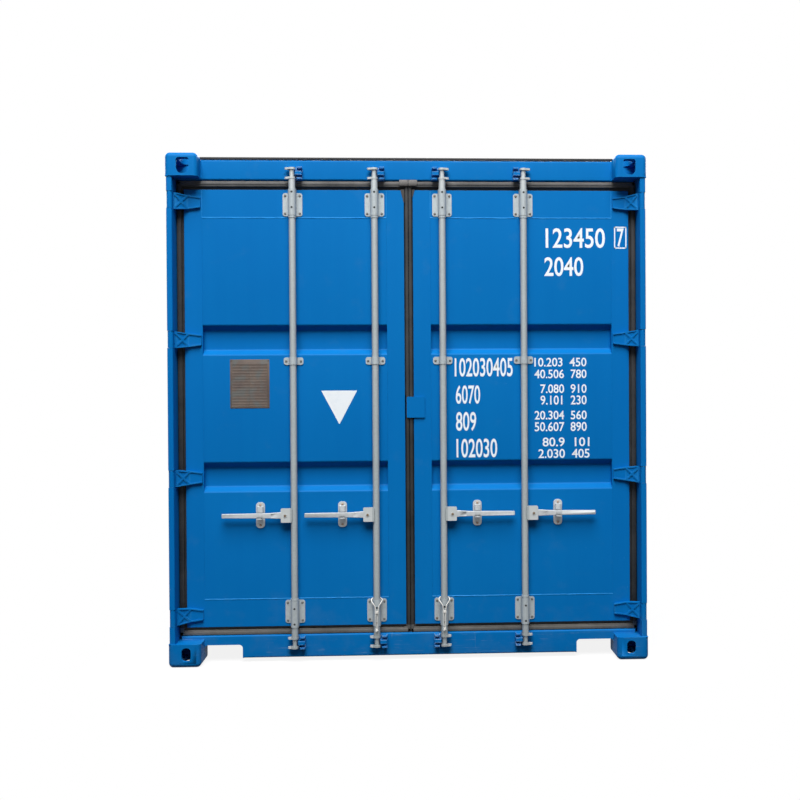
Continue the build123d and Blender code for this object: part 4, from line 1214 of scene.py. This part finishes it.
# White marks: a plain triangle on the left leaf, plain numbers on the right one
marks = {
    "film": 0.0004,
    "boldness": 0.012,
    "curveSteps": 4,
    "mergeWithin": 0.00001,
    "triangle": ((-0.451, 1.219), (-0.270, 1.391)),
    "triangleRound": 0.035,
    "triangleSteps": 4,
    "numbers": [
        ("123450", (0.711, 2.124), (1.021, 2.227)),
        ("7", (1.084, 2.130), (1.120, 2.226)),
        ("2040", (0.704, 1.978), (0.907, 2.077)),
        ("102030405", (0.235, 1.459), (0.536, 1.556)),
        ("6070", (0.240, 1.318), (0.366, 1.415)),
        ("809", (0.240, 1.178), (0.345, 1.277)),
        ("102030", (0.242, 1.040), (0.453, 1.138)),
        ("10.203  450", (0.649, 1.509), (0.921, 1.555)),
        ("40.506  780", (0.649, 1.448), (0.921, 1.494)),
        ("7.080  910", (0.680, 1.371), (0.921, 1.417)),
        ("9.101  230", (0.680, 1.311), (0.921, 1.359)),
        ("20.304  560", (0.649, 1.234), (0.921, 1.280)),
        ("50.607  890", (0.649, 1.173), (0.921, 1.221)),
        ("80.9  101", (0.690, 1.094), (0.935, 1.141)),
        ("2.030  405", (0.668, 1.034), (0.935, 1.081)),
    ],
    "boxFrame": ((1.069, 2.121), (1.134, 2.235)),
    "boxLine": 0.006,
}


# moves and stretches a flat shape to fill a place on the doors' face
def fitOnFace(bm, low, high, proud):
    xs = [vert.co.x for vert in bm.verts]
    zs = [vert.co.z for vert in bm.verts]
    scale = ((high[0] - low[0]) / (max(xs) - min(xs)), 1, (high[1] - low[1]) / (max(zs) - min(zs)))
    bmesh.ops.translate(bm, vec=(-min(xs), 0, -min(zs)), verts=bm.verts)
    bmesh.ops.scale(bm, vec=scale, verts=bm.verts)
    bmesh.ops.translate(bm, vec=(low[0], faceY - proud, low[1]), verts=bm.verts)


def addNumbers(bm, words, low, high):
    text = bpy.data.curves.new("numbers", "FONT")
    text.body = words
    text.extrude = marks["film"] / 2
    text.offset = marks["boldness"]
    text.resolution_u = marks["curveSteps"]
    mesh = meshOf(text)
    shape = bmesh.new()
    shape.from_mesh(mesh)
    bmesh.ops.remove_doubles(shape, verts=shape.verts, dist=marks["mergeWithin"])
    turnVerts(shape, shape.verts, math.pi / 2)
    fitOnFace(shape, low, high, marks["film"] / 2)
    shape.to_mesh(mesh)
    shape.free()
    bm.from_mesh(mesh)


def makeMarks():
    bm = bmesh.new()
    for words, low, high in marks["numbers"]:
        addNumbers(bm, words, low, high)
    (left, foot), (right, head) = marks["boxFrame"]
    line = marks["boxLine"]
    for low, high in (((left, foot), (left + line, head)), ((right - line, foot), (right, head)),
                      ((left, foot), (right, foot + line)), ((left, head - line), (right, head))):
        addBlock(bm, (low[0], faceY - marks["film"], low[1]), (high[0], faceY, high[1]))
    meshPiece("whiteNumbers", bm, "right_door", "blue_paint", whiteFilm)
    bm = bmesh.new()
    corners = bmesh.ops.create_circle(bm, cap_ends=True, segments=3, radius=1.0)["verts"]
    bmesh.ops.bevel(bm, geom=corners, offset=marks["triangleRound"], segments=marks["triangleSteps"],
                    profile=0.5, affect="VERTICES", material=-1)
    turnVerts(bm, bm.verts, -math.pi / 2)
    fitOnFace(bm, *marks["triangle"], marks["film"])
    bmesh.ops.solidify(bm, geom=bm.faces, thickness=-marks["film"])
    bmesh.ops.recalc_face_normals(bm, faces=bm.faces)
    meshPiece("whiteTriangle", bm, "left_door", "blue_paint", whiteFilm)


makeMarks()
print("marks laid")

studio = {
    "floorSize": 40.0,
    "floorNear": (0.90, 0.90, 0.90),
    "floorBounce": (0.035, 0.035, 0.035),
    "shadowStart": 0.02,
    "shadowEnd": 0.45,
    "shadowWhite": 0.87,
    "skyOnObject": 0.09,
}
lamps = {
    "key": {"place": (-0.5, -8.6, 10.4), "size": 7.0, "power": 2120.0, "towards": faceY},
    "fill": {"place": (-4.5, -11.0, 2.4), "size": 5.0, "power": 20.0, "towards": faceY},
    "back": {"place": (1.5, 10.5, 7.5), "size": 6.0, "power": 1000.0, "towards": 0.0},
    "nearSide": {"place": (-8.5, 6.5, 6.5), "size": 7.0, "power": 900.0, "towards": 0.0},
    "farSide": {"place": (8.5, 6.5, 6.5), "size": 7.0, "power": 900.0, "towards": 0.0},
}


def areaLight(name, place, size, power, towards):
    lamp = bpy.data.lights.new(name + " light", "AREA")
    lamp.shape = "SQUARE"
    lamp.size = size
    lamp.energy = power
    holder = addObject(name + "Light", lamp)
    holder.location = place
    aim = Vector((0, towards, centreZ)) - holder.location
    holder.rotation_euler = aim.to_track_quat("-Z", "Y").to_euler()


# white to the eye away from the object, plain paper round its foot, and darker to scattered light
def makeFloor():
    bm = bmesh.new()
    bmesh.ops.create_grid(bm, x_segments=1, y_segments=1, size=studio["floorSize"])
    mesh = bpy.data.meshes.new("studio floor")
    bm.to_mesh(mesh)
    bm.free()
    floor = addObject("studioFloor", mesh)
    paper = Finish("studio paper")
    seen = paper.seen()
    high = cadBox[1]
    beside = (abs(paper.along(0)) - high[0]).atLeast(0.0)
    beyond = (abs(paper.along(1)) - high[1]).atLeast(0.0)
    far = paper.ramp((beside ** 2 + beyond ** 2) ** 0.5, studio["shadowStart"], studio["shadowEnd"])
    white = studio["shadowWhite"] + far * (1 - studio["shadowWhite"])
    pale = paper.tint(studio["floorBounce"], studio["floorNear"], seen)
    matt = paper.node("ShaderNodeBsdfDiffuse", None, {"Color": pale})
    glow = paper.node("ShaderNodeEmission", None, {"Color": (1, 1, 1), "Strength": 1.0})
    paper.close(paper.node("ShaderNodeMixShader", None, {0: white * seen, 1: matt, 2: glow}))
    mesh.materials.append(paper.material)


def makeSky():
    sky = Finish("studio sky", bpy.data.worlds, "World")
    strength = sky.seen() * (1 - studio["skyOnObject"]) + studio["skyOnObject"]
    sky.close(sky.node("ShaderNodeBackground", None, {"Color": (1, 1, 1), "Strength": strength}))
    bpy.context.scene.world = sky.material


makeFloor()
makeSky()
for lampName, lamp in lamps.items():
    areaLight(lampName, **lamp)
print("studio lit")

# The camera stands before the middle of the doors, a little above half height
camera = {
    "place": (-0.020, -8.036, 1.379),
    "yaw": 2.53,
    "pitch": -0.45,
    "roll": -0.34,
    "focalPixels": 988.3,
    "imagePixels": 800,
    "shiftX": -0.0615,
    "sensor": 36.0,
    "farthest": 200,
}


def makeCamera():
    yaw, pitch, roll = (math.radians(camera[key]) for key in ("yaw", "pitch", "roll"))
    ahead = Vector((math.sin(yaw) * math.cos(pitch), math.cos(yaw) * math.cos(pitch), math.sin(pitch)))
    across = Vector((math.cos(yaw), -math.sin(yaw), 0))
    up = across.cross(ahead)
    right = across * math.cos(roll) + up * math.sin(roll)
    top = up * math.cos(roll) - across * math.sin(roll)
    turn = Matrix((right, top, -ahead)).transposed().to_4x4()
    lens = bpy.data.cameras.new("photo camera")
    lens.sensor_width = camera["sensor"]
    lens.lens = camera["sensor"] * camera["focalPixels"] / camera["imagePixels"]
    lens.shift_x = camera["shiftX"]
    lens.clip_end = camera["farthest"]
    holder = addObject("photoCamera", lens)
    holder.matrix_world = Matrix.Translation(camera["place"]) @ turn
    bpy.context.scene.camera = holder


makeCamera()
bpy.context.scene.view_settings.view_transform = "Standard"
print("camera set")
